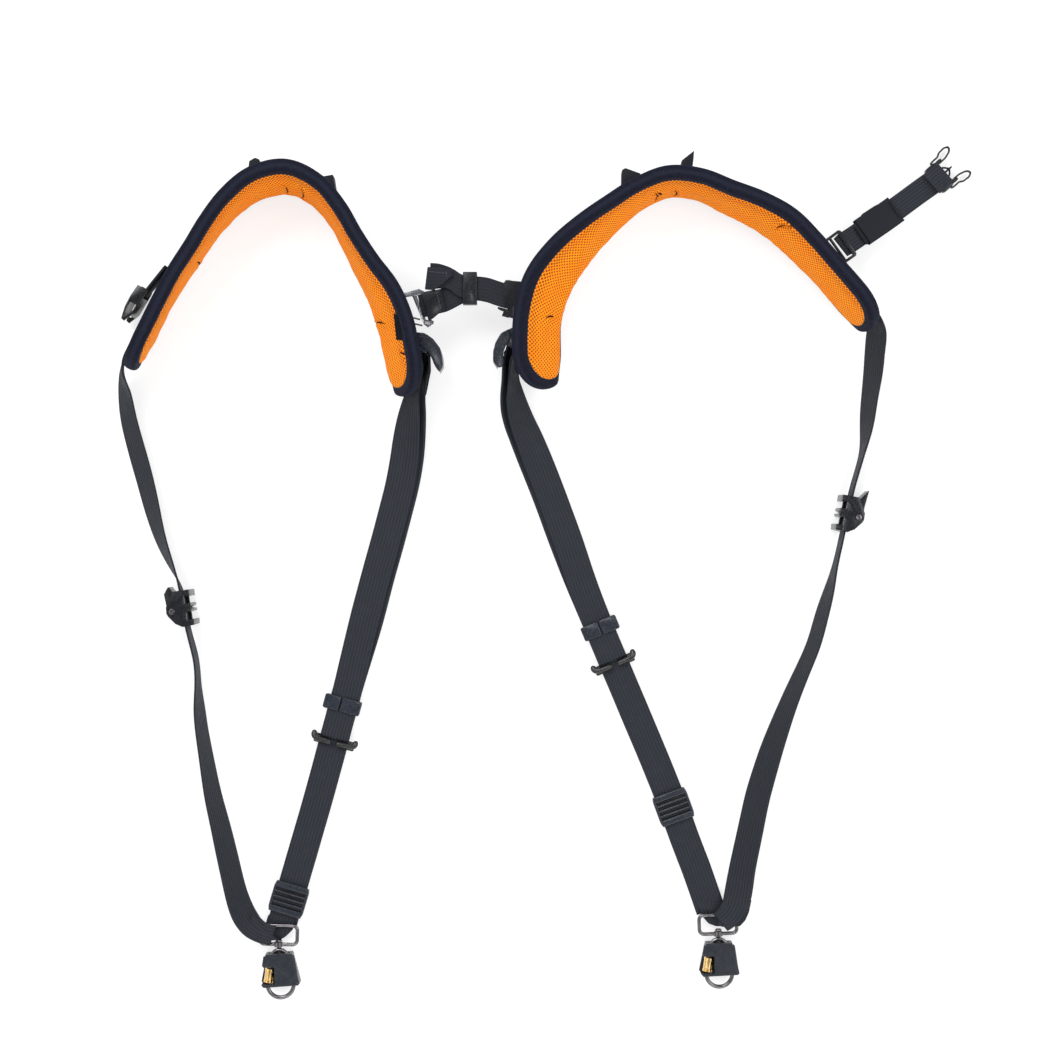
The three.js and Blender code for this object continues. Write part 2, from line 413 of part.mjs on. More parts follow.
// ---- helpers ------------------------------------------------------------
const V = (x, y, z = 0) => new THREE.Vector3(x, y, z);
const MAT = {
  binding: new THREE.MeshStandardMaterial({ color: 0x1d2030, roughness: 0.9, metalness: 0 }),
  mesh: new THREE.MeshStandardMaterial({ color: 0xf58a1f, roughness: 0.85, metalness: 0 }),
  foam: new THREE.MeshStandardMaterial({ color: 0x2a2a2c, roughness: 0.95, metalness: 0 }),
  shell: new THREE.MeshStandardMaterial({ color: 0x16171a, roughness: 0.85, metalness: 0 }),
  webbing: new THREE.MeshStandardMaterial({ color: 0x34383f, roughness: 0.8, metalness: 0 }),
  plastic: new THREE.MeshStandardMaterial({ color: 0x17191d, roughness: 0.45, metalness: 0 }),
  cover: new THREE.MeshStandardMaterial({ color: 0x2e3138, roughness: 0.5, metalness: 0 }),
  steel: new THREE.MeshStandardMaterial({ color: 0x77757a, roughness: 0.25, metalness: 1 }),
  brass: new THREE.MeshStandardMaterial({ color: 0xc79a3c, roughness: 0.28, metalness: 1 }),
};
const part = new THREE.Group();
part.position.set(...SHIFT);

function solid(g) {
  const c = g.index ? g.toNonIndexed() : g.clone();
  c.deleteAttribute("normal");
  c.deleteAttribute("uv");
  const m = mergeVertices(c, 1e-4);
  const make = (tri) =>
    new wasm.Manifold(new wasm.Mesh({ numProp: 3, vertProperties: m.attributes.position.array, triVerts: tri }));
  const tri = new Uint32Array(m.index.array);
  const s = make(tri);
  if (s.volume() >= 0) return s;
  for (let i = 0; i < tri.length; i += 3) [tri[i + 1], tri[i + 2]] = [tri[i + 2], tri[i + 1]];
  return make(tri);
}
function geo(s) {
  const m = s.getMesh();
  const g = new THREE.BufferGeometry();
  g.setAttribute("position", new THREE.BufferAttribute(new Float32Array(m.vertProperties), 3));
  g.setIndex(new THREE.BufferAttribute(new Uint32Array(m.triVerts), 1));
  g.computeVertexNormals();
  return g;
}
const union = (...a) => a.reduce((p, q) => p.add(q));
const cut = (a, ...b) => b.reduce((p, q) => p.subtract(q), a);
const block = (x0, x1, y0, y1, z0, z1) =>
  solid(new THREE.BoxGeometry(x1 - x0, y1 - y0, z1 - z0).translate((x0 + x1) / 2, (y0 + y1) / 2, (z0 + z1) / 2));
function rod(p, q, r, seg = 12, r2 = r) {
  const d = q.clone().sub(p);
  const g = new THREE.CylinderGeometry(r2, r, d.length(), seg);
  g.applyQuaternion(new THREE.Quaternion().setFromUnitVectors(V(0, 1, 0), d.clone().normalize()));
  g.translate(...p.clone().add(q).multiplyScalar(0.5).toArray());
  return solid(g);
}
// extrudes a plan outline [[x, y], ...] from z0 to z1
function prism(pts, z0, z1, holes = []) {
  const s = new THREE.Shape(pts.map((p) => new THREE.Vector2(...p)));
  for (const h of holes) s.holes.push(new THREE.Path(h.map((p) => new THREE.Vector2(...p))));
  return solid(new THREE.ExtrudeGeometry(s, { depth: z1 - z0, bevelEnabled: false, curveSegments: 8 }).translate(0, 0, z0));
}
const circle = (x, y, r, n = 20) =>
  Array.from({ length: n }, (_, i) => [x + r * Math.cos((2 * Math.PI * i) / n), y + r * Math.sin((2 * Math.PI * i) / n)]);
// joins rings of points, all with the same count, into one closed body
function loft(rings, closed = false, turn = 1e9) {
  const n = rings[0].length, pos = [], idx = [];
  for (const r of rings) for (const p of r) pos.push(p.x, p.y, p.z);
  const m = rings.length;
  for (let i = 0; i < (closed ? m : m - 1); i++)
    for (let j = 0; j < n; j++) {
      const a = i * n + j, b = i * n + ((j + 1) % n), c = ((i + 1) % m) * n + j, d = ((i + 1) % m) * n + ((j + 1) % n);
      j < turn ? idx.push(a, c, b, b, c, d) : idx.push(a, c, d, a, d, b);
    }
  if (!closed) {
    // fan from the first point; the outline is convex or a thin strip
    for (const [k, flip] of [[0, 0], [m - 1, 1]])
      for (let j = 1; j < n - 1; j++) flip ? idx.push(k * n, k * n + j + 1, k * n + j) : idx.push(k * n, k * n + j, k * n + j + 1);
  }
  const g = new THREE.BufferGeometry();
  g.setAttribute("position", new THREE.BufferAttribute(new Float32Array(pos), 3));
  g.setIndex(idx);
  return g;
}
// sweeps a section [[side, up], ...] along a path that lies in a plane across "up"
function sweep(path, section, up, closed = false) {
  const m = path.length;
  const rings = path.map((p, i) => {
    const a = path[closed ? (i - 1 + m) % m : Math.max(0, i - 1)], b = path[closed ? (i + 1) % m : Math.min(m - 1, i + 1)];
    const t = b.clone().sub(a).normalize();
    const s = t.clone().cross(up).normalize();
    const u = s.clone().cross(t).normalize();
    return section.map(([x, y]) => p.clone().addScaledVector(s, x).addScaledVector(u, y));
  });
  return loft(rings, closed);
}
const round = (r, n = 8) => circle(0, 0, r, n);
// flat strap through rows of x, y, z, width direction, half width
function strap(rows, thick = WEB_T) {
  const c = rows.map((r) => V(r[0], r[1], r[2]));
  const rings = rows.map((r, i) => {
    const t = c[Math.min(c.length - 1, i + 1)].clone().sub(c[Math.max(0, i - 1)]).normalize();
    const w = V(r[3], r[4], r[5]);
    w.addScaledVector(t, -w.dot(t)).normalize();
    const n = t.clone().cross(w).normalize();
    return [[-1, -1], [1, -1], [1, 1], [-1, 1]].map(([a, b]) =>
      c[i].clone().addScaledVector(w, a * r[6]).addScaledVector(n, (b * thick) / 2));
  });
  return loft(rings);
}
function add(name, g, mat, parent = part) {
  const m = new THREE.Mesh(g instanceof THREE.BufferGeometry ? g : geo(g), MAT[mat]);
  m.name = name;
  parent.add(m);
  return m;
}
function place(x, y, deg, mirror = false, z = 0) {
  const g = new THREE.Group();
  g.position.set(x, y, z);
  g.rotation.z = (deg * Math.PI) / 180;
  if (mirror) g.scale.x = -1;
  part.add(g);
  return g;
}

// ---- shoulder pads ------------------------------------------------------
function padFrames(table) {
  const p = table.map((r) => V(r[0], r[1], r[2]));
  const curve = new THREE.CatmullRomCurve3(p, false, "centripetal");
  // arc length in plan
  const fine = curve.getPoints(600), len = [0];
  for (let i = 1; i < fine.length; i++) len.push(len[i - 1] + Math.hypot(fine[i].x - fine[i - 1].x, fine[i].y - fine[i - 1].y));
  const L = len[len.length - 1];
  const at = (s) => {
    s = Math.min(L, Math.max(0, s));
    let i = len.findIndex((v) => v >= s);
    i = Math.max(1, i);
    const f = (s - len[i - 1]) / (len[i] - len[i - 1]);
    return fine[i - 1].clone().lerp(fine[i], f);
  };
  const ang = [20, 42, 66, 90].map((a) => (a * Math.PI) / 180);
  const st = ang.map((a) => [PAD_END * (1 - Math.cos(a)), PAD_HALF * Math.sin(a)]);
  const mid = 15;
  for (let i = 1; i < mid; i++) st.push([PAD_END + ((L - 2 * PAD_END) * i) / mid, PAD_HALF]);
  for (const a of ang.slice().reverse()) st.push([L - PAD_END * (1 - Math.cos(a)), PAD_HALF * Math.sin(a)]);
  return st.map(([s, hw]) => {
    const c = at(s), a = at(s - 4), b = at(s + 4);
    const t = V(b.x - a.x, b.y - a.y).normalize();
    const out = V(-t.y, t.x);
    const al = (c.z * Math.PI) / 180;
    const w = V(0, 0, Math.cos(al)).addScaledVector(out, Math.sin(al));
    const n = out.clone().multiplyScalar(-Math.cos(al)).add(V(0, 0, Math.sin(al)));
    const z = (PAD_HALF + 1.9) * Math.cos(al) + BIND_OUT * Math.abs(Math.sin(al)) + 0.2;
    return { s, hw, t, w, n, c: V(c.x, c.y, z) };
  });
}
function pad(side, table) {
  const F = padFrames(table), N = F.length;
  // outline as (frame, s, h), clockwise over the top and back along the bottom
  const rim = [...F.map((f) => ({ f, s: f.s, h: f.hw })), ...F.slice().reverse().map((f) => ({ f, s: f.s, h: -f.hw }))];
  const M = rim.length;
  rim.forEach((p, i) => {
    const a = rim[(i - 1 + M) % M], b = rim[(i + 1) % M];
    const ds = b.s - a.s, dh = b.h - a.h, l = Math.hypot(ds, dh);
    p.o = p.f.t.clone().multiplyScalar(-dh / l).addScaledVector(p.f.w, ds / l);
    p.p = p.f.c.clone().addScaledVector(p.f.w, p.h);
  });
  const sec = [[-BIND_FLANGE, BIND_OUT], [-BIND_FLANGE, BIND_IN], [0, BIND_IN], [0, -BIND_IN], [-BIND_FLANGE, -BIND_IN],
    [-BIND_FLANGE, -BIND_OUT], [0.2, -BIND_OUT], [1.5, -3.2], [1.9, 0], [1.5, 3.2], [0.2, BIND_OUT]];
  add(side + "_pad_edge_binding",
    geo(solid(loft(rim.map((p) => sec.map(([o, n]) => p.p.clone().addScaledVector(p.o, o).addScaledVector(p.f.n, n))), true))), "binding");
  const slab = (lo, hi, plain = false) => {
    const rings = F.map((f, i) => {
      const T = rim[i], B = rim[M - 1 - i];
      const top = T.p.clone().addScaledVector(T.o, -0.7), bot = B.p.clone().addScaledVector(B.o, -0.7);
      const a = Math.min(0.3, 8.9 / (2 * f.hw)), b = Math.min(0.4, 13.5 / (2 * f.hw));
      const k = Math.max(0, Math.min(1, (f.hw - 24) / 10));
      const rows = plain ? [[0, 0], [0.5, 0], [1, 0]] : [[0, 0], [a, 0], [b, k], [0.5, 1.25 * k], [1 - b, k], [1 - a, 0], [1, 0]];
      const pt = ([u, c], g) => bot.clone().lerp(top, u).addScaledVector(f.n, g(c));
      return [...rows.map((r) => pt(r, lo)), ...rows.slice().reverse().map((r) => pt(r, hi))];
    });
    // cap faces are strips, so close them as quads
    const n = rings[0].length, m = rings.length, g = loft(rings, false, n / 2), idx = Array.from(g.index.array);
    idx.length -= 2 * (n - 2) * 3;
    for (const [k, flip] of [[0, 0], [m - 1, 1]])
      for (let j = 0; j < n / 2 - 1; j++) {
        const a = k * n + j, b = a + 1, c = k * n + n - 1 - j, d = c - 1;
        flip ? idx.push(a, c, b, b, c, d) : idx.push(a, b, c, b, d, c);
      }
    g.setIndex(idx);
    return solid(g);
  };
  add(side + "_pad_mesh_lining", slab(() => 2.0, (c) => PAD_EDGE_T + PAD_CROWN * c), "mesh");
  add(side + "_pad_foam_core", slab(() => -1.5, () => 0.9, true), "foam");
  add(side + "_pad_outer_shell", slab((c) => -PAD_EDGE_T - 0.8 * PAD_CROWN * c, () => -2.8), "shell");
  // room that pieces sewn to the outer face keep clear of
  return slab((c) => -6.05 + 0.6 * Math.min(1, c), () => 9);
}
const LEFT_ROOM = pad("left", PAD_L), RIGHT_ROOM = pad("right", PAD_R);
function inPart(s, group) {
  group.updateMatrix();
  return s.transform(group.matrix.elements);
}

// ---- webbing ------------------------------------------------------------
add("left_rear_webbing", geo(solid(strap(LREAR))), "webbing");
add("left_front_webbing", geo(solid(strap(LFRONT))), "webbing");
add("right_rear_webbing", geo(solid(strap(RREAR))), "webbing");
add("right_front_webbing", geo(solid(strap(RFRONT))), "webbing");
add("coupler_webbing", geo(solid(strap(COUPLER, 1.5))), "webbing");
add("side_strap_webbing", geo(solid(strap(SIDE, 1.5))), "webbing");

// ---- ring, carabiner, gate, sleeve and covers ---------------------------
function arc(cx, cy, r, a0, a1, n) {
  return Array.from({ length: n + 1 }, (_, i) => {
    const a = ((a0 + ((a1 - a0) * i) / n) * Math.PI) / 180;
    return V(cx + r * Math.cos(a), cy + r * Math.sin(a), HANG_Z);
  });
}
function ring(side, x, y, deg) {
  const g = place(x, y, deg), c = 4, w = RING_W / 2, h = RING_H;
  const path = [...arc(w - c, h - c, c, 0, 90, 3), ...arc(-w + c, h - c, c, 90, 180, 3), ...arc(-w + c, c, c, 180, 270, 3), ...arc(w - c, c, c, 270, 360, 3)];
  const wire = solid(sweep(path, round(RING_R), V(0, 0, 1), true));
  const boss = rod(V(0, -2.3, HANG_Z), V(0, 2.3, HANG_Z), 3.7, 16);
  add(side + "_ring", cut(union(wire, boss), rod(V(0, -4, HANG_Z), V(0, 4, HANG_Z), 2.35, 12)), "steel", g);
}
function carabiner(side, x, y, deg) {
  const g = place(x, y, deg);
  const path = [V(-11.25, -33.9, HANG_Z), ...arc(0, LOW_ARC[0], LOW_ARC[1], 180, 360, 12), ...arc(0, TOP_ARC[0], TOP_ARC[1], 0, 172, 8)];
  const wire = solid(sweep(path, round(HOOK_R, 10), V(0, 0, 1)));
  const stud = rod(V(0, -4.6, HANG_Z), V(0, 3.4, HANG_Z), 1.5, 12);
  const head = rod(V(0, 2.9, HANG_Z), V(0, 4.5, HANG_Z), 2.9, 14, 2.3);
  add(side + "_carabiner_hook", union(wire, stud, head), "steel", g);

  const A = V(...GATE_A, HANG_Z), B = V(...GATE_B, HANG_Z), dir = B.clone().sub(A).normalize();
  const knuckle = prism(circle(A.x, A.y, 2.1, 14), HANG_Z - 1.7, HANG_Z + 1.7);
  add(side + "_carabiner_gate", union(rod(A, B, 1.6, 10), knuckle), "steel", g);
  const prof = [[SLEEVE_BORE, 0], [SLEEVE_R - 0.6, 0], [SLEEVE_R, 0.6], [SLEEVE_R, 3], [SLEEVE_R - 0.3, 3.3], [SLEEVE_R - 0.3, 9.5],
    [SLEEVE_R, 9.8], [SLEEVE_R, SLEEVE_LEN - 0.6], [SLEEVE_R - 0.6, SLEEVE_LEN], [SLEEVE_BORE, SLEEVE_LEN], [SLEEVE_BORE, 0]];
  const sl = new THREE.LatheGeometry(prof.map((p) => new THREE.Vector2(...p)), 18);
  sl.applyQuaternion(new THREE.Quaternion().setFromUnitVectors(V(0, 1, 0), dir));
  sl.translate(...A.clone().addScaledVector(dir, SLEEVE_FROM).toArray());
  add(side + "_screw_sleeve", solid(sl), "brass", g);

  const outer = (d, z0, z1) => prism([[-COVER_HALF_TOP + d, -COVER_TOP - d], [COVER_HALF_TOP - d, -COVER_TOP - d],
    [COVER_HALF_LOW - d, -COVER_LOW + 1.5 + d], [COVER_HALF_LOW - 1.5 - d * 0.6, -COVER_LOW + d], [-COVER_HALF_LOW + 3 + d * 0.6, -COVER_LOW - (d ? -d : 1)],
    [-COVER_HALF_LOW + d, -COVER_LOW + 2.6 + d]], z0, z1);
  const notch = (z0, z1) => [block(-9.2, 9.2, -9.4, -5, z0, z1), block(-13.6, 13.6, -38, -30, z0, z1)];
  const win = (z0, z1) => block(-20, -4.4, -34 + 0.9, -18.2, z0, z1);
  const zs = HANG_Z, top = 13.1, low = 0.3;
  const slot = (z0, z1) => block(-20, -11.2, -19, -14.8, z0, z1); // lets the sleeve run up beside the wall
  const front = cut(outer(0, zs + 0.15, top), outer(COVER_WALL, zs - 1, top - COVER_WALL), ...notch(zs - 1, zs + 2.2), win(zs - 1, top + 1), slot(zs - 1, zs + 4.7));
  const back = cut(outer(0, low, zs - 0.15), outer(COVER_WALL, low + COVER_WALL, zs + 1), ...notch(zs - 2.2, zs + 1),
    block(-20, -12, -33.1, -18.2, low + 1.6, zs + 1), slot(zs - 4.7, zs + 1));
  add(side + "_cover_front", front, "cover", g);
  add(side + "_cover_back", back, "cover", g);
}
ring("left", -217.69, -356.09, -1.6);
carabiner("left", -217.17, -356.43, 2.4);
ring("right", 161.33, -346.95, 2.2);
carabiner("right", 161.50, -347.13, 1.2);

// ---- cam locks on the rear webbing --------------------------------------
function camLock(side, x, y, deg, mirror, tab) {
  const g = place(x, y, deg, mirror);
  const plate = [[3.2, 15.4], [-5.5, 15.4], [-9.6, 8.6], [-13, 3], [-13.4, -2.4], [-12.4, -5], [-7.2, -12], [-1.6, -15.6], [3.2, -15.6]];
  const px = -8.4, py = -1.4;
  const bar = (pts) => prism(pts, 0.3, 31);
  const body = union(
    prism(plate, 0.3, 2.5), prism(plate, 28.8, 31),
    bar([[1.6, 10.2], [8.2, 9.6], [8.4, 15], [1.6, 15.4]]),
    bar([[1.6, -3.8], [7.6, -3.6], [8.4, -1.6], [4.2, -0.2], [8.2, 1.4], [8, 3.6], [1.6, 3.8]]),
    bar([[1.6, -15.6], [8.4, -15.2], [9, -10.4], [1.6, -10.4]]));
  const hole = prism(circle(px, py, 1.7, 14), -1, 40);
  add(side + "_cam_lock_body", cut(body, hole), "plastic", g);
  const lever = union(
    prism(circle(px, py, 4.6, 20), 3.1, 28.2),
    prism(tab, 3.1, 28.2),
    prism([[px, py + 4.2], [px + 5.6, py + 1.2], [px + 5.9, py - 1.4], [px, py - 4.2]], 3.1, 28.2));
  add(side + "_cam_lever", cut(lever, hole), "plastic", g);
  add(side + "_cam_pin", cut(union(prism(circle(px, py, 1.25, 12), 0.3, 31.2), prism(circle(px, py, 2.5, 16), 31.25, 32.1), prism(circle(px, py, 1.25, 12), 31, 31.9)),
    prism(circle(px, py, 0.7, 10), 29, 33)), "steel", g);
}
camLock("left", -297.18, -66.02, 9.0, false, [[-12.6, -1], [-13.4, 14.3], [-9.3, 19.7], [-4.7, 10.8], [-4.2, 1]]);
camLock("right", 270.60, 14.58, -12.0, true, [[-12.6, -1], [-12, 8], [-13, 22.9], [-5.2, 11.5], [-4.2, 1]]);

// ---- hardware on the front webbing --------------------------------------
function slider(side, x, y, deg) {
  const g = place(x, y, deg);
  const half = (s) => union(
    block(Math.min(s * 15, s * 18), Math.max(s * 15, s * 18), -3.6, 3.6, 0.2, 8.9),
    rod(V(s * 2.4, 0, 8.9), V(s * 18.6, 0, 8.9), 1.9, 12));
  add(side + "_slider", union(block(-18, 18, -4, 4, 0.2, 1.6), half(1), half(-1)), "plastic", g);
}
function keeper(side, x, y, deg, split) {
  const g = place(x, y, deg);
  add(side + "_strap_keeper", cut(block(-16, 16, -6.5, 6.5, 0.2, 9), block(-13.8, 13.8, -9, 9, 1.7, 7.1), block(split - 0.7, split + 0.7, -9, 9, 5, 12)), "plastic", g);
}
function adjuster(side, x, y, deg) {
  const g = place(x, y, deg);
  const grooves = [5, 3.4, 1.8, -1.4, -3, -4.6].map((v) => block(-12.6, 12.6, v - 0.35, v + 0.35, 7.7, 10));
  add(side + "_ladder_adjuster", cut(block(-15.2, 15.2, -13.7, 13.7, 1.2, 8.4), block(-13.4, 13.4, -20, 20, 2.3, 5.9),
    block(-12.6, 12.6, 6.3, 8.8, 5, 10), block(-12.6, 12.6, -8.8, -6.3, 5, 10), block(-12.6, 12.6, -0.3, 0.5, 7.3, 10), ...grooves), "plastic", g);
}
keeper("left", -162.57, -149.62, -15.4, -1.6);
slider("left", -169.99, -182.24, -15.4);
adjuster("left", -208.82, -317.37, -16.6);
keeper("right", 59.54, -83.53, 22.6, 0);
slider("right", 72.14, -114.94, 22.8);
adjuster("right", 122.70, -237.81, 20.2);

// ---- lever locks at the lower inner pad ends ----------------------------
function leverLock(side, M) {
  const z0 = LOCK_Z - 15.7, z1 = LOCK_Z + 15.7;
  const [A, B] = [M.A, M.B];
  const lock = union(prism(M.rail, z0, z0 + 2.4), prism(M.rail, z1 - 2.4, z1), prism(circle(...A, 1.6, 12), z0, z1),
    prism(circle(...B, 1.5, 12), z0, z1), prism(M.lever, z0, z1));
  add(side + "_lever_lock", lock, "plastic");
  const eye = cut(union(prism(circle(...A, 5, 20), LOCK_Z - 12.5, LOCK_Z + 12.5), prism(M.tail, LOCK_Z - 12.5, LOCK_Z + 12.5)),
    prism(circle(...A, 3.5, 20), 0, 90));
  add(side + "_lock_anchor_loop", cut(eye, side === "left" ? LEFT_ROOM : RIGHT_ROOM), "webbing");
}
leverLock("left", {
  A: [-95.50, 162.70], B: [-90.23, 153.36],
  rail: [[-97.88, 164.83], [-96.86, 167.38], [-90.06, 166.87], [-82.41, 161.85], [-80.29, 157.60], [-84.96, 155.99], [-87.00, 151.66], [-90.06, 149.96], [-93.12, 151.66], [-93.97, 156.33], [-97.45, 160.15]],
  lever: [[-88.02, 165.85], [-82.41, 161.85], [-76.89, 154.63], [-74.77, 147.41], [-74.43, 139.76], [-77.49, 134.58], [-80.37, 141.89], [-81.22, 149.11], [-83.77, 155.48], [-88.36, 161.09]],
  tail: [[-99.07, 163.13], [-101.53, 167.72], [-112.15, 168.23], [-112.15, 171.11], [-100.68, 171.11], [-95.67, 166.53]],
});
leverLock("right", {
  A: [-11.13, 166.95], B: [-16.40, 157.60],
  rail: [[-8.75, 169.07], [-9.77, 171.62], [-16.57, 171.11], [-24.21, 166.10], [-26.34, 161.85], [-21.67, 160.24], [-19.63, 155.91], [-16.57, 154.21], [-13.51, 155.91], [-12.66, 160.58], [-9.18, 164.40]],
  lever: [[-18.61, 170.09], [-24.21, 166.10], [-29.74, 158.88], [-31.86, 151.66], [-32.03, 143.16], [-28.63, 138.32], [-26.25, 146.14], [-25.40, 153.36], [-22.85, 159.73], [-18.27, 165.34]],
  tail: [[-7.56, 167.38], [-5.10, 171.45], [4.25, 172.13], [4.25, 175.02], [-6.37, 175.02], [-11.38, 170.77]],
});

// ---- coupler between the two pads ---------------------------------------
{
  const z0 = COUPLER_Z - 1, z1 = COUPLER_Z + 2, zm = (z0 + z1) / 2;
  const arm = prism([[-88.09, 201.81], [-91.99, 198.25], [-97.26, 199.77], [-107.78, 198.08], [-110.84, 197.57], [-112.36, 196.04], [-112.70, 188.74], [-115.93, 188.74], [-115.93, 197.40], [-112.87, 200.96], [-107.78, 202.15], [-101.84, 203.51], [-95.05, 205.38]], z0, z1);
  const main = prism([[-101.84, 201.98], [-97.94, 201.98], [-88.60, 178.22], [-90.81, 174.82]], z0, z1);
  const low = prism([[-91.32, 179.58], [-82.66, 178.22], [-82.49, 176.01], [-87.41, 172.62], [-90.81, 175.33]], z0, z1);
  const inner = rod(V(-93.69, 201.13, zm), V(-84.53, 177.03, zm), 1.15, 10);
  add("coupler_hook", union(arm, main, low, inner), "steel");
  const wire = [[-91.99, 174.31], [-99.55, 176.01], [-106.93, 178.22], [-111.17, 181.61], [-112.36, 186.03], [-109.99, 186.37], [-106.93, 183.48], [-100.31, 181.10], [-94.03, 179.41]].map((p) => V(...p, zm));
  add("coupler_wire_gate", solid(sweep(wire, round(0.75, 8), V(0, 0, 1))), "steel");
  // strap bridge on the left pad that the hook goes through
  const y0 = 190.61, y1 = 195.53, bx = -110.67;
  const bridge = union(block(bx, bx + 1.5, y0, y1, 25.5, 45), block(bx - 12, bx + 1.5, y0, y1, 24, 25.6), block(bx - 8, bx + 1.5, y0, y1, 44.9, 46.4));
  add("left_coupler_bridge", cut(bridge, LEFT_ROOM), "webbing");
}
{
  // two bar buckle on the right pad, local x along the strap
  const g = place(-15.79, 197.82, -15.5);
  const z = COUPLER_Z + 3.2;
  const rail = (s) => prism([[-9.5, s * 10.9], [-9.5, s * 12.6], [-6, s * 13.4], [9, s * 13.4], [10.4, s * 12.4], [10.4, s * 10.9]], z - 1.7, z + 1.9);
  add("coupler_ladder_lock", union(rail(1), rail(-1), rod(V(0, -11.5, z), V(0, 11.5, z), 1.3, 10), rod(V(8.4, -11.5, z), V(8.4, 11.5, z), 1.5, 10),
    prism([[-4, -13], [3, -13], [1.5, -17.5], [-4.5, -17.5]], z - 1.7, z + 0.6)), "plastic", g);
  const eye = cut(union(rod(V(8.4, -9.8, z), V(8.4, 9.8, z), 3.6, 18), block(8.4, 36, -9.8, 9.8, z - 3.4, z - 1.0)), rod(V(8.4, -20, z), V(8.4, 20, z), 2.1, 16));
  add("right_coupler_anchor_loop", cut(inPart(eye, g), RIGHT_ROOM), "webbing");
}
{
  const g = place(-51.73, 205.47, 0);
  add("coupler_keeper", cut(block(-6, 6, -13.9, 13.9, 31.6, 39.2), block(-9, 9, -12.5, 12.5, 32.8, 38)), "plastic", g);
}

// ---- side strap with its male buckle ------------------------------------
{
  const g = place(263.04, 241.15, 35.4);
  const z = 20.5;
  const rail = (s) => prism([[-9.5, s * 10.9], [-9.5, s * 13.2], [8.5, s * 13.4], [10, s * 12], [10, s * 10.9]], z - 1.9, z + 1.9);
  add("side_ladder_lock", union(rail(1), rail(-1), rod(V(-7.6, -11.5, z), V(-7.6, 11.5, z), 1.5, 10), rod(V(-1, -11.5, z), V(-1, 11.5, z), 1.3, 10),
    block(6.5, 10, -11.5, 11.5, z + 0.6, z + 2.6)), "plastic", g);
  const eye = cut(union(rod(V(-7.6, -9.8, z), V(-7.6, 9.8, z), 3.6, 18), block(-27, -7.6, -9.8, 9.8, z - 3.4, z - 1)),
    rod(V(-7.6, -20, z), V(-7.6, 20, z), 2.1, 16));
  add("side_anchor_loop", cut(inPart(eye, g), RIGHT_ROOM), "webbing");
}
{
  // fabric sleeve that follows the strap
  const grown = (from, to, side) => SIDE.slice(from, to).map((r) => [...r.slice(0, 6), r[6] + side]);
  add("side_strap_sleeve", cut(solid(strap(grown(5, 14, 2.1), 5.4)), solid(strap(grown(3, 16, 1), 3.4))), "webbing");
}
{
  const g = place(353.66, 306.22, 41.5);
  const z0 = 1.2, z1 = 9;
  const body = cut(union(block(-9, 3.5, -12.6, 12.6, z0, z1), prism([[3, -4.5], [8, -3], [13, -1.6], [13, 1.6], [8, 3], [3, 4.5]], 3, 7.4)),
    block(-6.6, -3.2, -11, 11, -2, 20), block(-12, 0.6, -11.2, 11.2, 3.6, 6.8), block(0.4, 9.2, 5.2, 20, 2.6, 20), block(0.4, 9.2, -20, -5.2, 2.6, 20), block(0.4, 9.2, 5.2, 20, -5, 2.7), block(0.4, 9.2, -20, -5.2, -5, 2.7));
  add("male_buckle_body", body, "plastic", g);
  const prong = (s) => prism([[1.1, s * 9], [9.5, s * 9.2], [16, s * 8], [24.6, s * 9.2], [25.4, s * 11.2], [18, s * 12.6], [12, s * 14], [9.8, s * 15.2], [8.8, s * 12.6], [1.1, s * 12.2]], 2, 8.2);
  add("male_buckle_prong_a", prong(1), "plastic", g);
  add("male_buckle_prong_b", prong(-1), "plastic", g);
}

// ---- female buckle and sewn tabs ----------------------------------------
{
  const g = place(-334.22, 200.10, -30.3);
  const z0 = 6.4, z1 = 31.6;
  const full = [[-4.6, 8], [-5.4, -3], [-5, -13], [-2.6, -23.6], [0.4, -24.4], [4.6, -14], [4.6, 8]];
  const main = [[-5.2, 0.2], [-5.4, -3], [-5, -13], [-2.6, -23.6], [0.4, -24.4], [4.6, -14], [4.6, 0.2]];
  const body = cut(union(prism(main, z0, z1), prism(full, z0, z0 + 2.2), prism(full, z1 - 2.2, z1), prism(circle(0, 4.6, 1.8, 16), z0, z1)),
    block(-3.2, 2.8, -26, -2, z0 + 2.2, z1 - 2.2), prism([[-3.2, -7.6], [2.6, -7.6], [2.6, -13], [-0.6, -19.4], [-2, -19.4], [-3.2, -13]], 0, 60));
  add("female_buckle", body, "plastic", g);
  const loop = cut(union(prism(circle(0, 4.6, 4.1, 20), z0 + 2.5, z1 - 2.5), prism([[1.7, 4.6], [4.1, 4.6], [8.4, 34], [6, 34]], z0 + 2.5, z1 - 2.5)), prism(circle(0, 4.6, 2.2, 20), 0, 60));
  add("left_buckle_loop", cut(inPart(loop, g), LEFT_ROOM), "webbing", part);
}
const tab = (name, pts, z0, z1, room) => add(name, cut(prism(pts, z0, z1), room), "webbing");
tab("left_top_tab", [[-237.43, 299.73], [-236.25, 310.17], [-231.53, 312.86], [-228.16, 311.85], [-226.48, 299.73]], 38, 56, LEFT_ROOM);
tab("left_rear_tab", [[-180.17, 290.47], [-176.39, 296.70], [-165.86, 298.38], [-164.18, 287.10], [-169.23, 283.73]], 38, 58, LEFT_ROOM);
tab("right_top_loop_tab", [[79.14, 282.05], [76.11, 292.15], [76.28, 302.68], [79.14, 304.27], [91.77, 299.73], [91.77, 290.47]], 36, 56, RIGHT_ROOM);
tab("right_pointed_tab", [[127.13, 295.52], [126.80, 311.52], [137.07, 319.60], [136.56, 312.36], [134.37, 295.52]], 36, 52, RIGHT_ROOM);

export default part;
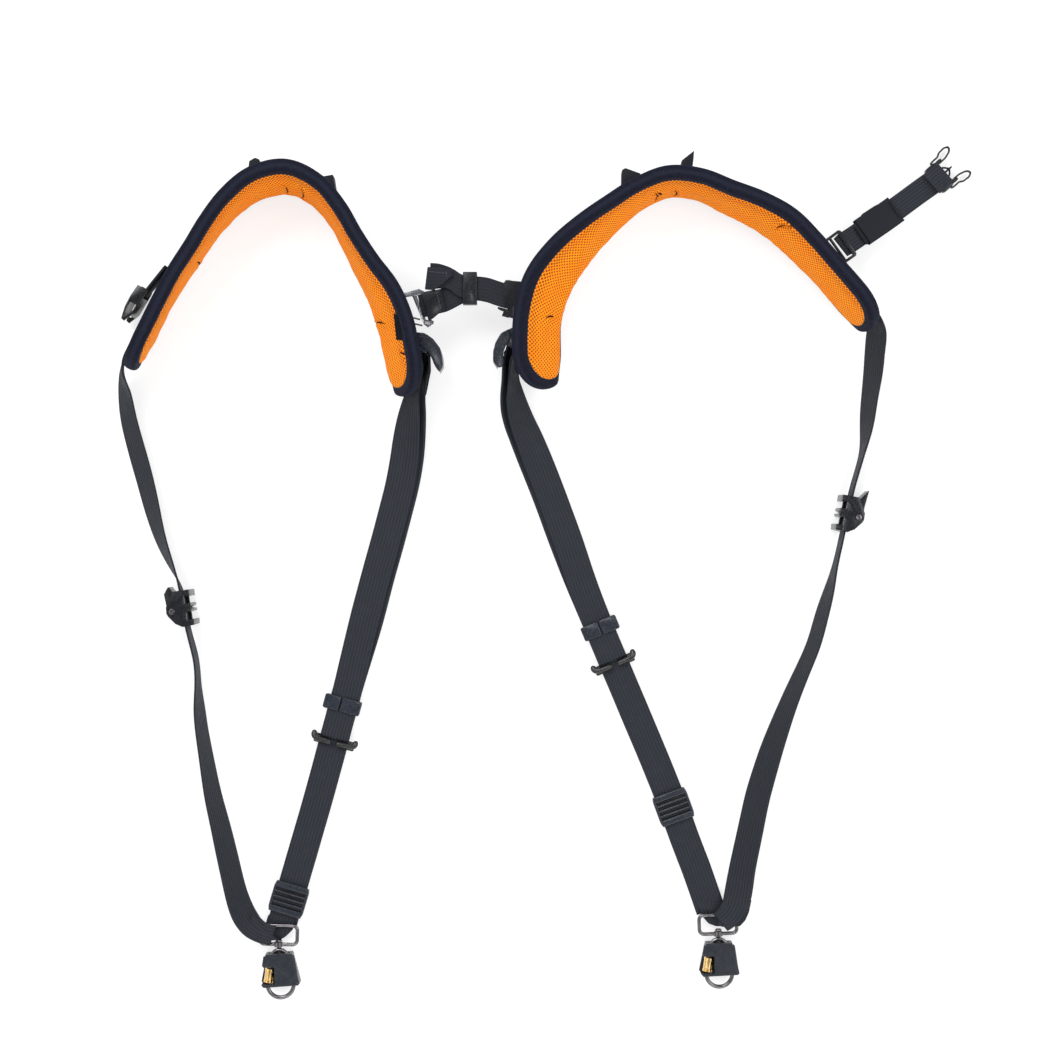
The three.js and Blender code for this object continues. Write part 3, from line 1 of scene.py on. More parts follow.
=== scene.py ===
"""Double shoulder carrying harness laid out flat: fabric, webbing, hardware, studio."""
import bpy, bmesh, json, math
import numpy as np
from mathutils import Vector, Matrix
from mathutils.kdtree import KDTree

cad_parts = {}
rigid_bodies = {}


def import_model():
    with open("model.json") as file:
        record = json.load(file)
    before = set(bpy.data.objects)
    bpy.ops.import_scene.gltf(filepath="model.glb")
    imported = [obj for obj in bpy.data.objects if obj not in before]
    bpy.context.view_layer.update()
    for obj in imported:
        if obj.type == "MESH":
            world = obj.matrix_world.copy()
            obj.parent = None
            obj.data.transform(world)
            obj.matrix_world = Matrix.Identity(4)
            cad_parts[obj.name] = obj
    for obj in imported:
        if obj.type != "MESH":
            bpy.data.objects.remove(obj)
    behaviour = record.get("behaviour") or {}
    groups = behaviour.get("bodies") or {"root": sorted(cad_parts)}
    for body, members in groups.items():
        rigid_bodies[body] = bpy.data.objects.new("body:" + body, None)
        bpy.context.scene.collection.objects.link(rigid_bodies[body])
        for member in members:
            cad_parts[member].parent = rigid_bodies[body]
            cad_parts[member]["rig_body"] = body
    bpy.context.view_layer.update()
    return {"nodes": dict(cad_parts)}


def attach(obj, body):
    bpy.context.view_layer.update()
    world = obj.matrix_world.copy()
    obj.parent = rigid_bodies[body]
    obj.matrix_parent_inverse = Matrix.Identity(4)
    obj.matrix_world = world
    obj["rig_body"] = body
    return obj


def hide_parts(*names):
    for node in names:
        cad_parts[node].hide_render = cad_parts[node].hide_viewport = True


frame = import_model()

RNG = np.random.default_rng(7)
SHIFT = np.array([-11.8, 36.125, -0.2])  # same group position as the frame, mm
SC = bpy.context.scene

# ---- camera, light, floor ---------------------------------------------------
cam_data = bpy.data.cameras.new("camera")
cam_data.sensor_width = 36.0
cam_data.lens = 70.54
cam = bpy.data.objects.new("camera", cam_data)
cam.location = (-0.0118, 0.036125, 1.7998)
cam.rotation_euler = (0, 0, 0)
SC.collection.objects.link(cam)
SC.camera = cam


def area(name, loc, target, size, power, color=(1, 1, 1)):
    d = bpy.data.lights.new(name, "AREA")
    d.shape = "RECTANGLE"; d.size, d.size_y = size
    d.energy = power; d.color = color
    o = bpy.data.objects.new(name, d)
    o.location = loc
    o.rotation_euler = (Vector(target) - Vector(loc)).to_track_quat("-Z", "Y").to_euler()
    SC.collection.objects.link(o)
    return o


area("key_light", (-0.8, 1.2, 1.7), (0, 0, 0), (1.1, 0.7), 21)
area("fill_light", (1.3, 0.3, 1.5), (0, 0, 0), (0.9, 1.2), 10)
area("front_light", (0.1, -1.5, 1.3), (0, 0, 0), (1.5, 0.5), 9)

area("overhead_light", (0.0, 0.12, 1.98), (0, 0, 0), (0.20, 0.20), 1.6)

world = bpy.data.worlds.new("studio")
SC.world = world
world.use_nodes = True
wn = world.node_tree
# a dim patch straight overhead inside a broad bright band, darker towards the horizon
_tc = wn.nodes.new("ShaderNodeTexCoord"); _sp = wn.nodes.new("ShaderNodeSeparateXYZ"); _cr = wn.nodes.new("ShaderNodeValToRGB")
_e = _cr.color_ramp.elements
_e[0].position = 0.0; _e[0].color = (0.22, 0.22, 0.22, 1)
_e[1].position = 1.0; _e[1].color = (0.26, 0.26, 0.27, 1)
for _p, _v in ((0.30, 0.75), (0.50, 1.35), (0.82, 1.35), (0.94, 0.42)):
    _q = _e.new(_p); _q.color = (_v, _v, _v * 1.01, 1)
wn.links.new(_tc.outputs["Generated"], _sp.inputs[0]); wn.links.new(_sp.outputs[2], _cr.inputs[0])
wn.links.new(_cr.outputs[0], wn.nodes["Background"].inputs["Color"])
wn.nodes["Background"].inputs["Strength"].default_value = 0.95
SC.view_settings.view_transform = "Standard"
SC.view_settings.look = "None"
SC.view_settings.exposure = 0.0

# ---- material helpers -------------------------------------------------------
class N:
    """Small wrapper that builds one node material."""
    def __init__(self, name, **base):
        self.m = bpy.data.materials.new(name)
        self.m.use_nodes = True
        self.t = self.m.node_tree
        self.p = self.t.nodes["Principled BSDF"]
        for k, v in base.items():
            k = {"color": "Base Color", "rough": "Roughness", "metal": "Metallic", "sheen": "Sheen Weight",
                 "sheen_rough": "Sheen Roughness", "sheen_tint": "Sheen Tint", "coat": "Coat Weight",
                 "coat_rough": "Coat Roughness", "spec": "Specular IOR Level", "ior": "IOR"}[k]
            self.p.inputs[k].default_value = (*v, 1) if isinstance(v, tuple) else v

    def n(self, kind, **kw):
        o = self.t.nodes.new("ShaderNode" + kind)
        for k, v in kw.items():
            setattr(o, k, v)
        return o

    def l(self, a, b):
        self.t.links.new(a, b)
        return b

    def put(self, sock, v):
        if isinstance(v, bpy.types.NodeSocket):
            self.t.links.new(v, sock)
        else:
            sock.default_value = v

    def math(self, op, a, b=0.0, c=0.0, clamp=False):
        o = self.n("Math", operation=op, use_clamp=clamp)
        self.put(o.inputs[0], a); self.put(o.inputs[1], b)
        if len(o.inputs) > 2:
            self.put(o.inputs[2], c)
        return o.outputs[0]

    def uv(self):
        o = self.n("UVMap"); o.uv_map = "st"
        return o.outputs[0]

    def obj(self):
        return self.n("TexCoord").outputs["Object"]

    def sep(self, v):
        o = self.n("SeparateXYZ"); self.put(o.inputs[0], v)
        return o.outputs

    def noise(self, vec, scale, detail=3.0, rough=0.55):
        o = self.n("TexNoise"); self.put(o.inputs["Vector"], vec)
        o.inputs["Scale"].default_value = scale; o.inputs["Detail"].default_value = detail
        o.inputs["Roughness"].default_value = rough
        return o.outputs["Fac"]

    def voro(self, vec, scale, feature="F1", rnd=1.0, dim="3D"):
        o = self.n("TexVoronoi", feature=feature, voronoi_dimensions=dim)
        self.put(o.inputs["Vector"], vec); o.inputs["Scale"].default_value = scale
        o.inputs["Randomness"].default_value = rnd
        return o.outputs["Distance"]

    def step(self, v, a, b, lo=0.0, hi=1.0):
        o = self.n("MapRange", interpolation_type="SMOOTHSTEP")
        self.put(o.inputs["Value"], v)
        self.put(o.inputs["From Min"], a); self.put(o.inputs["From Max"], b)
        self.put(o.inputs["To Min"], lo); self.put(o.inputs["To Max"], hi)
        return o.outputs[0]

    def mix(self, f, a, b, mode="MIX"):
        o = self.n("Mix", data_type="RGBA", blend_type=mode)
        self.put(o.inputs[0], f)
        self.put(o.inputs[6], (*a, 1) if isinstance(a, tuple) else a)
        self.put(o.inputs[7], (*b, 1) if isinstance(b, tuple) else b)
        return o.outputs[2]

    def color(self, v): self.put(self.p.inputs["Base Color"], v)
    def rough(self, v): self.put(self.p.inputs["Roughness"], v)

    def bump(self, h, dist, strength=1.0, chain=None):
        o = self.n("Bump"); o.inputs["Distance"].default_value = dist
        o.inputs["Strength"].default_value = strength
        self.put(o.inputs["Height"], h)
        if chain is not None:
            self.put(o.inputs["Normal"], chain)
        self.l(o.outputs[0], self.p.inputs["Normal"])
        return o.outputs[0]


# UV map "st" is in millimetres: x across or around a piece, y along it.
def m_mesh():
    m = N("orange_spacer_mesh", rough=0.85, sheen=0.04, sheen_rough=0.5, sheen_tint=(1.0, 0.62, 0.35), spec=0.12)
    uv = m.uv(); s = m.sep(uv)

    def lattice(dx, dy):
        a = m.math("MULTIPLY", m.math("SUBTRACT", m.math("FRACT", m.math("ADD", m.math("DIVIDE", s[0], 4.5), dx)), 0.5), 3.6)
        b = m.math("MULTIPLY", m.math("SUBTRACT", m.math("FRACT", m.math("ADD", m.math("DIVIDE", s[1], 3.3), dy)), 0.5), 3.3)
        return m.math("SQRT", m.math("ADD", m.math("MULTIPLY", a, a), m.math("MULTIPLY", b, b)))
    d = m.math("MINIMUM", lattice(0.0, 0.0), lattice(0.5, 0.5))
    edge = m.step(m.math("ABSOLUTE", s[0]), 15.0, 27.0)
    big = m.noise(uv, 0.05, 2)
    r = m.math("ADD", m.math("MULTIPLY_ADD", edge, 0.20, 0.66), m.math("MULTIPLY", m.math("SUBTRACT", big, 0.5), 0.35))
    hole = m.step(d, m.math("SUBTRACT", r, 0.22), m.math("ADD", r, 0.24), 1.0, 0.0)
    fine = m.noise(uv, 1.1, 4)
    c = m.mix(m.step(big, 0.35, 0.7), (0.93, 0.255, 0.006), (0.98, 0.305, 0.010))
    c = m.mix(m.step(fine, 0.42, 0.75, 0, 0.25), c, (0.74, 0.165, 0.004))
    # the hole pattern is real, but their darkening is painted shade inside the openings
    c = m.mix(m.math("MULTIPLY", hole, 0.90), c, (0.24, 0.030, 0.001))
    m.color(c)
    yarn = m.voro(uv, 1 / 0.55, rnd=0.5, dim="2D")
    b = m.bump(m.math("SUBTRACT", 1.0, hole), 0.0006, 0.9)
    m.bump(yarn, 0.00012, 0.6, b)
    return m.m


def m_binding():
    m = N("knit_edge_binding", rough=0.88, sheen=0.04, sheen_rough=0.45, sheen_tint=(0.55, 0.62, 0.95), spec=0.10)
    uv = m.uv(); s = m.sep(uv)
    # chevron knit: rows that lean one way and the other across the tape
    a = m.math("SINE", m.math("MULTIPLY", m.math("ADD", s[1], m.math("MULTIPLY", m.math("ABSOLUTE", m.math("SUBTRACT", m.math("FRACT", m.math("DIVIDE", s[0], 2.2)), 0.5)), 2.2)), 2 * math.pi / 1.05))
    w = m.math("SINE", m.math("MULTIPLY", s[0], 2 * math.pi / 1.1))
    h = m.math("MULTIPLY_ADD", a, 0.5, m.math("MULTIPLY", w, 0.35))
    n = m.noise(uv, 0.35, 3)
    c = m.mix(m.step(h, -0.6, 0.8), (0.0030, 0.0035, 0.0075), (0.0105, 0.0120, 0.0250))
    c = m.mix(m.step(n, 0.45, 0.8, 0, 0.5), c, (0.0160, 0.0180, 0.0330))
    # painted highlight: the crown of the fold is a little lighter, a highlight stripe painted along it
    c = m.mix(m.step(m.math("ABSOLUTE", m.math("SUBTRACT", s[0], 15.2)), 3.2, 0.4, 0.0, 0.45), c, (0.0190, 0.0215, 0.0370))
    m.color(c)
    b = m.bump(h, 0.00016, 0.9)
    m.bump(n, 0.0005, 0.35, b)
    return m.m


def m_webbing(name="ribbed_webbing", lo=(0.0105, 0.0124, 0.0165), hi=(0.0190, 0.0222, 0.0290), rib=2.7, amp=1.0):
    m = N(name, rough=0.62, sheen=0.03, sheen_rough=0.4, sheen_tint=(0.75, 0.82, 1.0), spec=0.16)
    uv = m.uv(); s = m.sep(uv)
    # straight ribs along the tape, crossed by fine picks that step half a pick on every other rib
    r = m.math("SINE", m.math("MULTIPLY", s[0], 2 * math.pi / rib))
    par = m.math("MULTIPLY", m.math("FLOOR", m.math("MULTIPLY", m.math("FRACT", m.math("DIVIDE", s[0], 2 * rib)), 2.0)), 0.5)
    y = m.math("SINE", m.math("MULTIPLY", m.math("ADD", m.math("DIVIDE", s[1], 0.62), par), 2 * math.pi))
    n = m.noise(uv, 0.12, 3)
    f = m.noise(uv, 1.6, 3)
    h = m.math("MULTIPLY", m.math("MULTIPLY_ADD", y, 0.16, r), amp)
    c = m.mix(m.step(h, -1.3, 1.2), lo, hi)
    c = m.mix(m.step(n, 0.4, 0.75, 0, 0.30), c, tuple(x * 1.45 for x in hi))
    c = m.mix(m.step(f, 0.55, 0.8, 0, 0.22), c, (0.045, 0.050, 0.060))
    m.color(c)
    m.rough(m.step(n, 0.3, 0.7, 0.56, 0.70))
    b = m.bump(r, 0.00011 * amp, 0.9)
    m.bump(y, 0.00004, 0.6, b)
    return m.m


def m_shell():
    m = N("woven_nylon_shell", rough=0.66, sheen=0.04, spec=0.2)
    uv = m.uv(); s = m.sep(uv)
    a = m.math("SINE", m.math("MULTIPLY", s[0], 2 * math.pi / 0.9))
    b = m.math("SINE", m.math("MULTIPLY", s[1], 2 * math.pi / 0.9))
    h = m.math("MULTIPLY", a, b)
    n = m.noise(uv, 0.08, 3)
    m.color(m.mix(m.step(h, -0.8, 0.8), (0.005, 0.0058, 0.0075), (0.016, 0.018, 0.022)))
    m.rough(m.step(n, 0.3, 0.7, 0.55, 0.7))
    q = m.bump(h, 0.00012, 0.8)
    m.bump(n, 0.0006, 0.3, q)
    return m.m


def m_foam():
    m = N("closed_cell_foam", rough=0.95, spec=0.2)
    v = m.voro(m.obj(), 900)
    m.color(m.mix(m.step(v, 0.1, 0.6), (0.012, 0.012, 0.013), (0.035, 0.035, 0.037)))
    m.bump(v, 0.0002, 0.6)
    return m.m


def m_plastic(name, lo, hi, rough=0.36, grain=0.5):
    m = N(name, rough=rough, spec=0.34, coat=0.10, coat_rough=0.12)
    o = m.obj()
    n = m.noise(o, 420, 4); f = m.noise(o, 2600, 2)
    m.color(m.mix(m.step(n, 0.25, 0.8), lo, hi))
    m.rough(m.step(n, 0.3, 0.7, rough - 0.03, rough + 0.06))
    m.bump(f, 0.00003, grain * 0.25)
    return m.m


def m_metal(name, lo, hi, rough, spot=0.12, stretch=None):
    m = N(name, metal=1.0, rough=rough)
    o = m.obj()
    if stretch:
        mp = m.n("Mapping"); mp.inputs["Scale"].default_value = stretch; m.put(mp.inputs[0], o); o = mp.outputs[0]
    n = m.noise(o, 220, 4); f = m.noise(o, 1700, 3, 0.7)
    m.color(m.mix(m.step(n, 0.35, 0.7), lo, hi))
    m.rough(m.step(f, 0.35, 0.75, rough - 0.05, rough + spot))
    m.bump(f, 0.00002, 0.35)
    return m.m


M = {
    "mesh": m_mesh(), "binding": m_binding(), "webbing": m_webbing(), "shell": m_shell(), "foam": m_foam(),
    "tab": m_webbing("tab_tape", (0.0060, 0.0070, 0.0100), (0.0105, 0.0120, 0.0170), 2.4, 0.5),
    "coupler": m_webbing("coupler_tape", (0.0080, 0.0093, 0.0130), (0.0140, 0.0160, 0.0225), 3.0, 0.5),
    "plastic": m_plastic("black_nylon", (0.0030, 0.0036, 0.0054), (0.0062, 0.0072, 0.0102), 0.28),
    "lever": m_plastic("slate_gloss_nylon", (0.012, 0.0150, 0.0215), (0.021, 0.0255, 0.0360), 0.24, 0.3),
    "cover": m_plastic("cover_nylon", (0.0125, 0.0150, 0.0200), (0.0185, 0.0220, 0.0290), 0.32),
    "bronze": m_plastic("bronze_sheen_nylon", (0.0100, 0.0098, 0.0110), (0.0220, 0.0205, 0.0215), 0.24, 0.3),
    "steel": m_metal("dark_plated_steel", (0.135, 0.127, 0.135), (0.205, 0.193, 0.204), 0.20),
    "gun": m_metal("gunmetal", (0.16, 0.16, 0.175), (0.24, 0.24, 0.26), 0.24),
    "brass": m_metal("polished_brass", (0.80, 0.50, 0.17), (0.96, 0.70, 0.32), 0.16, 0.06),
}


def m_thread(name, c):
    m = N(name, rough=0.6, sheen=0.2)
    n = m.noise(m.obj(), 1500, 2)
    m.color(m.mix(m.step(n, 0.3, 0.7), tuple(x * 0.7 for x in c), tuple(x * 1.4 for x in c)))
    m.bump(n, 0.00005, 0.5)
    return m.m


M["thread"] = m_thread("navy_thread", (0.026, 0.030, 0.050))
M["thread_light"] = m_thread("grey_thread", (0.050, 0.055, 0.070))
M["gloss"] = m_plastic("coated_black_tape", (0.0022, 0.0028, 0.0048), (0.0055, 0.0066, 0.0105), 0.30, 0.4)
M["gloss"].node_tree.nodes["Principled BSDF"].inputs["Specular IOR Level"].default_value = 0.22
M["crease"] = m_thread("fold_shadow", (0.035, 0.0075, 0.0010))
M["label"] = m_thread("blank_label_tape", (0.006, 0.007, 0.011))
for k_ in ("crease", "label"):
    M[k_].node_tree.nodes["Principled BSDF"].inputs["Specular IOR Level"].default_value = 0.05
    M[k_].node_tree.nodes["Principled BSDF"].inputs["Sheen Weight"].default_value = 0.0

# ---- mesh helpers -----------------------------------------------------------
def obj_from(name, verts, faces, mat, body, uv=None, smooth=True, replaces=(), angle=None):
    """verts in millimetres of the unshifted layout; uv is one pair per vertex."""
    v = (np.asarray(verts, float) + SHIFT) / 1000.0
    me = bpy.data.meshes.new(name)
    me.from_pydata(v.tolist(), [], [list(map(int, f)) for f in faces])
    me.validate()
    if uv is not None:
        lay = me.uv_layers.new(name="st")
        li = np.zeros(len(me.loops), np.int32); me.loops.foreach_get("vertex_index", li)
        lay.data.foreach_set("uv", np.asarray(uv, np.float32)[li].ravel())
    bm = bmesh.new(); bm.from_mesh(me)
    bmesh.ops.recalc_face_normals(bm, faces=bm.faces)
    if bm.calc_volume(signed=True) < 0:
        bmesh.ops.reverse_faces(bm, faces=bm.faces)
    bm.to_mesh(me); bm.free()
    if smooth:
        me.polygons.foreach_set("use_smooth", [True] * len(me.polygons))
        if angle is not None:
            me.set_sharp_from_angle(angle=math.radians(angle))
    me.materials.append(mat)
    o = bpy.data.objects.new(name, me)
    SC.collection.objects.link(o)
    if body:
        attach(o, body)
        if replaces:
            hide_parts(*replaces)
    return o


def grid_faces(n, m, cu=False, cv=False):
    """n rings of m points; cu closes the rings round, cv closes the last ring on the first."""
    f = []
    for i in range(n if cv else n - 1):
        a, b = i * m, ((i + 1) % n) * m
        for j in range(m if cu else m - 1):
            k = (j + 1) % m
            f.append((a + j, a + k, b + k, b + j))
    return f


def sweep(path, section, up=None, closed=False, caps=True, scale=None):
    """section [[side, up], ...] along path; returns verts, faces, uv."""
    P = np.asarray(path, float); n = len(P); sec = np.asarray(section, float); m = len(sec)
    if closed:
        T = np.roll(P, -1, 0) - np.roll(P, 1, 0)
    else:
        T = np.gradient(P, axis=0)
    T /= np.linalg.norm(T, axis=1)[:, None]
    up = np.array((0, 0, 1.0) if up is None else up, float)
    d = np.r_[0, np.cumsum(np.linalg.norm(np.diff(P, axis=0), axis=1))]
    around = np.r_[0, np.cumsum(np.linalg.norm(np.diff(sec, axis=0), axis=1))]
    V = []; UV = []
    for i in range(n):
        s = np.cross(T[i], up); s /= np.linalg.norm(s)
        u = np.cross(s, T[i]); k = 1.0 if scale is None else scale[i]
        V.append(P[i] + k * (sec[:, :1] * s + sec[:, 1:] * u))
        UV.append(np.stack([around, np.full(m, d[i])], 1))
    V = np.concatenate(V); UV = np.concatenate(UV)
    F = grid_faces(n, m, True, closed)
    if not closed and caps:
        V = np.vstack([V, V[:m].mean(0), V[-m:].mean(0)]); UV = np.vstack([UV, UV[0], UV[-1]])
        a, b = n * m, n * m + 1
        F += [(a, (j + 1) % m, j) for j in range(m)]
        F += [(b, (n - 1) * m + j, (n - 1) * m + (j + 1) % m) for j in range(m)]
    return V, F, UV


def circ(r, n=24, ry=None):
    a = np.arange(n) * 2 * math.pi / n
    return np.stack([r * np.cos(a), (ry or r) * np.sin(a)], 1)


def rod(p, q, r, n=24, r2=None, dome=0.0):
    """round bar with softly rounded ends"""
    p = np.array(p, float); q = np.array(q, float); L = np.linalg.norm(q - p); d = (q - p) / L
    r2 = r if r2 is None else r2; b = min(0.35, 0.3 * r, 0.3 * r2) if not dome else dome
    st = [(0, r - b), (b * 0.3, r - b * 0.3), (b, r), (L - b, r2), (L - b * 0.3, r2 - b * 0.3), (L, r2 - b)]
    up = np.array([0, 0, 1.0]) if abs(d[2]) < 0.9 else np.array([1.0, 0, 0])
    s = np.cross(d, up); s /= np.linalg.norm(s); u = np.cross(s, d)
    a = np.arange(n) * 2 * math.pi / n
    V = []; UV = []
    for x, rr in st:
        V.append(p + d * x + rr * (np.cos(a)[:, None] * s + np.sin(a)[:, None] * u)); UV.append(np.stack([a * r, np.full(n, x)], 1))
    V = np.vstack(V + [p[None], q[None]]); UV = np.vstack(UV + [[[0, 0]], [[0, L]]])
    F = grid_faces(len(st), n, True); k = len(st) * n
    F += [(k, (j + 1) % n, j) for j in range(n)] + [(k + 1, (len(st) - 1) * n + j, (len(st) - 1) * n + (j + 1) % n) for j in range(n)]
    return V, F, UV


def join(*parts):
    V, F, U, k = [], [], [], 0
    for v, f, u in parts:
        V.append(np.asarray(v, float)); U.append(np.asarray(u, float) if u is not None else np.zeros((len(v), 2)))
        F += [tuple(i + k for i in q) for q in f]; k += len(v)
    return np.vstack(V), F, np.vstack(U)


def placed(part, x, y, deg, mirror=False):
    """moves local millimetres to the layout"""
    v, f, u = part; a = math.radians(deg); v = np.array(v, float)
    if mirror:
        v[:, 0] *= -1
    c, s = math.cos(a), math.sin(a)
    w = np.stack([x + c * v[:, 0] - s * v[:, 1], y + s * v[:, 0] + c * v[:, 1], v[:, 2]], 1)
    return w, f, u


def prism(pts, z0, z1, bevel=0.5, seg=3):
    """upright slab with rounded top and bottom edges; pts run round the outline"""
    P = np.asarray(pts, float); n = len(P)
    if 0.5 * np.sum(P[:, 0] * np.roll(P[:, 1], -1) - np.roll(P[:, 0], -1) * P[:, 1]) < 0:
        P = P[::-1]
    e = np.roll(P, -1, 0) - P; e /= np.linalg.norm(e, axis=1)[:, None]
    nrm = np.stack([e[:, 1], -e[:, 0]], 1)
    b = nrm + np.roll(nrm, 1, 0); b /= (np.linalg.norm(b, axis=1)[:, None] + 1e-9)
    k = 1 / np.clip(np.sum(b * nrm, 1), 0.5, 1)
    V = []
    levels = []
    for i in range(seg + 1):
        a = math.pi / 2 * i / seg
        levels.append((z0 + bevel * (1 - math.sin(a)), bevel * (1 - math.cos(a))))
    levels = [(z0 + bevel * (1 - math.cos(math.pi / 2 * i / seg)), bevel * (1 - math.sin(math.pi / 2 * i / seg))) for i in range(seg + 1)]
    levels += [(z1 - bevel * (1 - math.sin(math.pi / 2 * i / seg)), bevel * (1 - math.cos(math.pi / 2 * i / seg))) for i in range(seg + 1)]
    for z, d in levels:
        q = P - b * k[:, None] * d
        V.append(np.column_stack([q, np.full(n, z)]))
    V = np.vstack(V)
    F = grid_faces(len(levels), n, True)
    F.append(tuple(range(n))[::-1]); F.append(tuple((len(levels) - 1) * n + i for i in range(n)))
    return V, F, np.column_stack([V[:, 0], V[:, 1]])


def smooth_outline(pts, r=1.0, n=4):
    """rounds the corners of a plan outline"""
    P = np.asarray(pts, float); out = []
    for i in range(len(P)):
        a, p, c = P[i - 1], P[i], P[(i + 1) % len(P)]
        u, w = a - p, c - p; lu, lw = np.linalg.norm(u), np.linalg.norm(w)
        d = min(r, 0.45 * lu, 0.45 * lw)
        s, e = p + u / lu * d, p + w / lw * d
        for k in range(n + 1):
            t = k / n
            out.append((1 - t) ** 2 * s + 2 * t * (1 - t) * p + t * t * e)
    return np.array(out)


def refined(node, mat, bevel=0.4, seg=2, angle=35, body=None, name=None):
    """a rounded, cleaned copy of a CAD piece"""
    src = frame["nodes"][node]
    bm = bmesh.new(); bm.from_mesh(src.data)
    bmesh.ops.remove_doubles(bm, verts=bm.verts, dist=2e-6)
    bmesh.ops.dissolve_limit(bm, angle_limit=math.radians(2), verts=bm.verts, edges=bm.edges)
    me = bpy.data.meshes.new((name or node) + "_fine")
    bm.to_mesh(me); bm.free()
    o = bpy.data.objects.new((name or node) + "_fine", me)
    SC.collection.objects.link(o)
    if bevel:
        b = o.modifiers.new("edges", "BEVEL")
        b.width = bevel / 1000; b.segments = seg; b.limit_method = "ANGLE"; b.angle_limit = math.radians(angle)
        b.use_clamp_overlap = True; b.harden_normals = False; b.miter_outer = "MITER_ARC"
    dg = bpy.context.evaluated_depsgraph_get()
    me2 = bpy.data.meshes.new_from_object(o.evaluated_get(dg))
    o.modifiers.clear(); o.data = me2; bpy.data.meshes.remove(me)
    me2.name = o.name
    me2.materials.clear(); me2.materials.append(mat)
    me2.polygons.foreach_set("use_smooth", [True] * len(me2.polygons))
    me2.set_sharp_from_angle(angle=math.radians(38))
    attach(o, body or src["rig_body"])
    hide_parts(node)
    return o


# ---- smooth curves through the tables ---------------------------------------
def resample(rows, step):
    """Catmull-Rom through rows by arc length of the first three columns"""
    p = np.array(rows, float); d = np.r_[0, np.cumsum(np.linalg.norm(np.diff(p[:, :3], axis=0), axis=1))]
    n = max(4, int(round(d[-1] / step)) + 1); t = np.linspace(0, d[-1], n)
    m = np.gradient(p, d, axis=0)
    i = np.clip(np.searchsorted(d, t, "right") - 1, 0, len(d) - 2); h = d[i + 1] - d[i]; x = ((t - d[i]) / h)[:, None]; h = h[:, None]
    return (2 * x**3 - 3 * x**2 + 1) * p[i] + (x**3 - 2 * x**2 + x) * h * m[i] + (-2 * x**3 + 3 * x**2) * p[i + 1] + (x**3 - x**2) * h * m[i + 1]


def strap(name, rows, mat, body, thick=1.7, step=2.2, replaces=(), wob=0.12, seed=1, nx=26, fine=False, ret=False):
    """a woven tape: rounded selvedges, slightly raised ribs, a little unevenness along its length"""
    a = resample(rows, step) if not fine else np.array(rows, float)
    C = a[:, :3]; T = np.gradient(C, axis=0); T /= np.linalg.norm(T, axis=1)[:, None]
    W = a[:, 3:6] - T * np.sum(a[:, 3:6] * T, 1)[:, None]; W /= np.linalg.norm(W, axis=1)[:, None]
    Nn = np.cross(T, W); hw = a[:, 6]
    d = np.r_[0, np.cumsum(np.linalg.norm(np.diff(C, axis=0), axis=1))]
    h = thick / 2; r = h * 0.9
    # section from one selvedge over the top face to the other and back underneath
    xs = np.linspace(-1, 1, nx)
    V = []; UV = []
    g = np.random.default_rng(seed); ph = g.uniform(0, 6.28, 6)
    for i in range(len(a)):
        s = d[i]; k = hw[i]
        edge = wob * (math.sin(s / 17 + ph[0]) + 0.6 * math.sin(s / 7.3 + ph[1]))
        top, bot, ut, ub = [], [], [], []
        for x in xs:
            e = min(1.0, (1 - abs(x)) * k / r)
            th = h * (0.42 + 0.58 * math.sqrt(max(0.0, 1 - (1 - e) ** 2)))
            rib = 0.02 * math.cos(x * k * 2 * math.pi / 3.1) * e
            wv = 0.10 * wob * math.sin(s / 11 + x * 2 + ph[2])
            px = x * (k + edge * 0.25 * abs(x))
            top.append(C[i] + W[i] * px + Nn[i] * (th + rib * 0.6 + wv)); ut.append((x * k, s))
            bot.append(C[i] + W[i] * px - Nn[i] * (th + rib * 0.6 - wv)); ub.append((x * k, s))
        V += top + bot[::-1]; UV += ut + ub[::-1]
    m = 2 * nx; n = len(a)
    F = grid_faces(n, m, True)
    for k0, flip in ((0, 0), ((n - 1) * m, 1)):
        for j in range(nx - 1):
            q = (k0 + j, k0 + j + 1, k0 + m - 2 - j, k0 + m - 1 - j)
            F.append(q if flip else q[::-1])
    if ret:
        return np.array(V), F, np.array(UV)
    o = obj_from(name, V, F, mat, body, UV, True, replaces)
    return o

# ---- shoulder pads ----------------------------------------------------------
PAD_L = [
  [-339.5, 138.81, -5.03], [-323.76, 170.22, -5.04], [-312.03, 193.57, -4.88], [-299.17, 216.31, -3.85], [-284.42, 237.89, -2.4], [-269.68, 259.45, -0.05], [-251.9, 278.56, 3.97], [-230.14, 292.75, 8.31], [-204.63, 296.71, 11.2], [-181.23, 285.8, 11.11], [-163.88, 266.38, 10.17], [-150.95, 243.69, 10.47], [-138.88, 220.51, 15.24], [-126.29, 197.61, 21.92], [-117.27, 173.11, 24.5], [-112.1, 147.55, 24.92], [-104.21, 116.64, 24.92],
]
PAD_R = [
  [9.42, 122.05, 34.91], [9.13, 153.62, 34.89], [10.75, 180.11, 35.64], [18.33, 205.58, 36.17], [32.39, 228.12, 30.75], [49.73, 248.31, 22.35], [69.21, 266.45, 14.8], [90.33, 282.63, 10.17], [114.63, 293.14, 8.01], [140.94, 291.52, 6.65], [165.34, 280.94, 8.67], [189.46, 269.66, 12.52], [211.97, 255.52, 15.12], [231.41, 237.34, 13.43], [249.91, 218.2, 10.76], [267.57, 198.26, 10.45], [288.42, 173.2, 10.45],
]
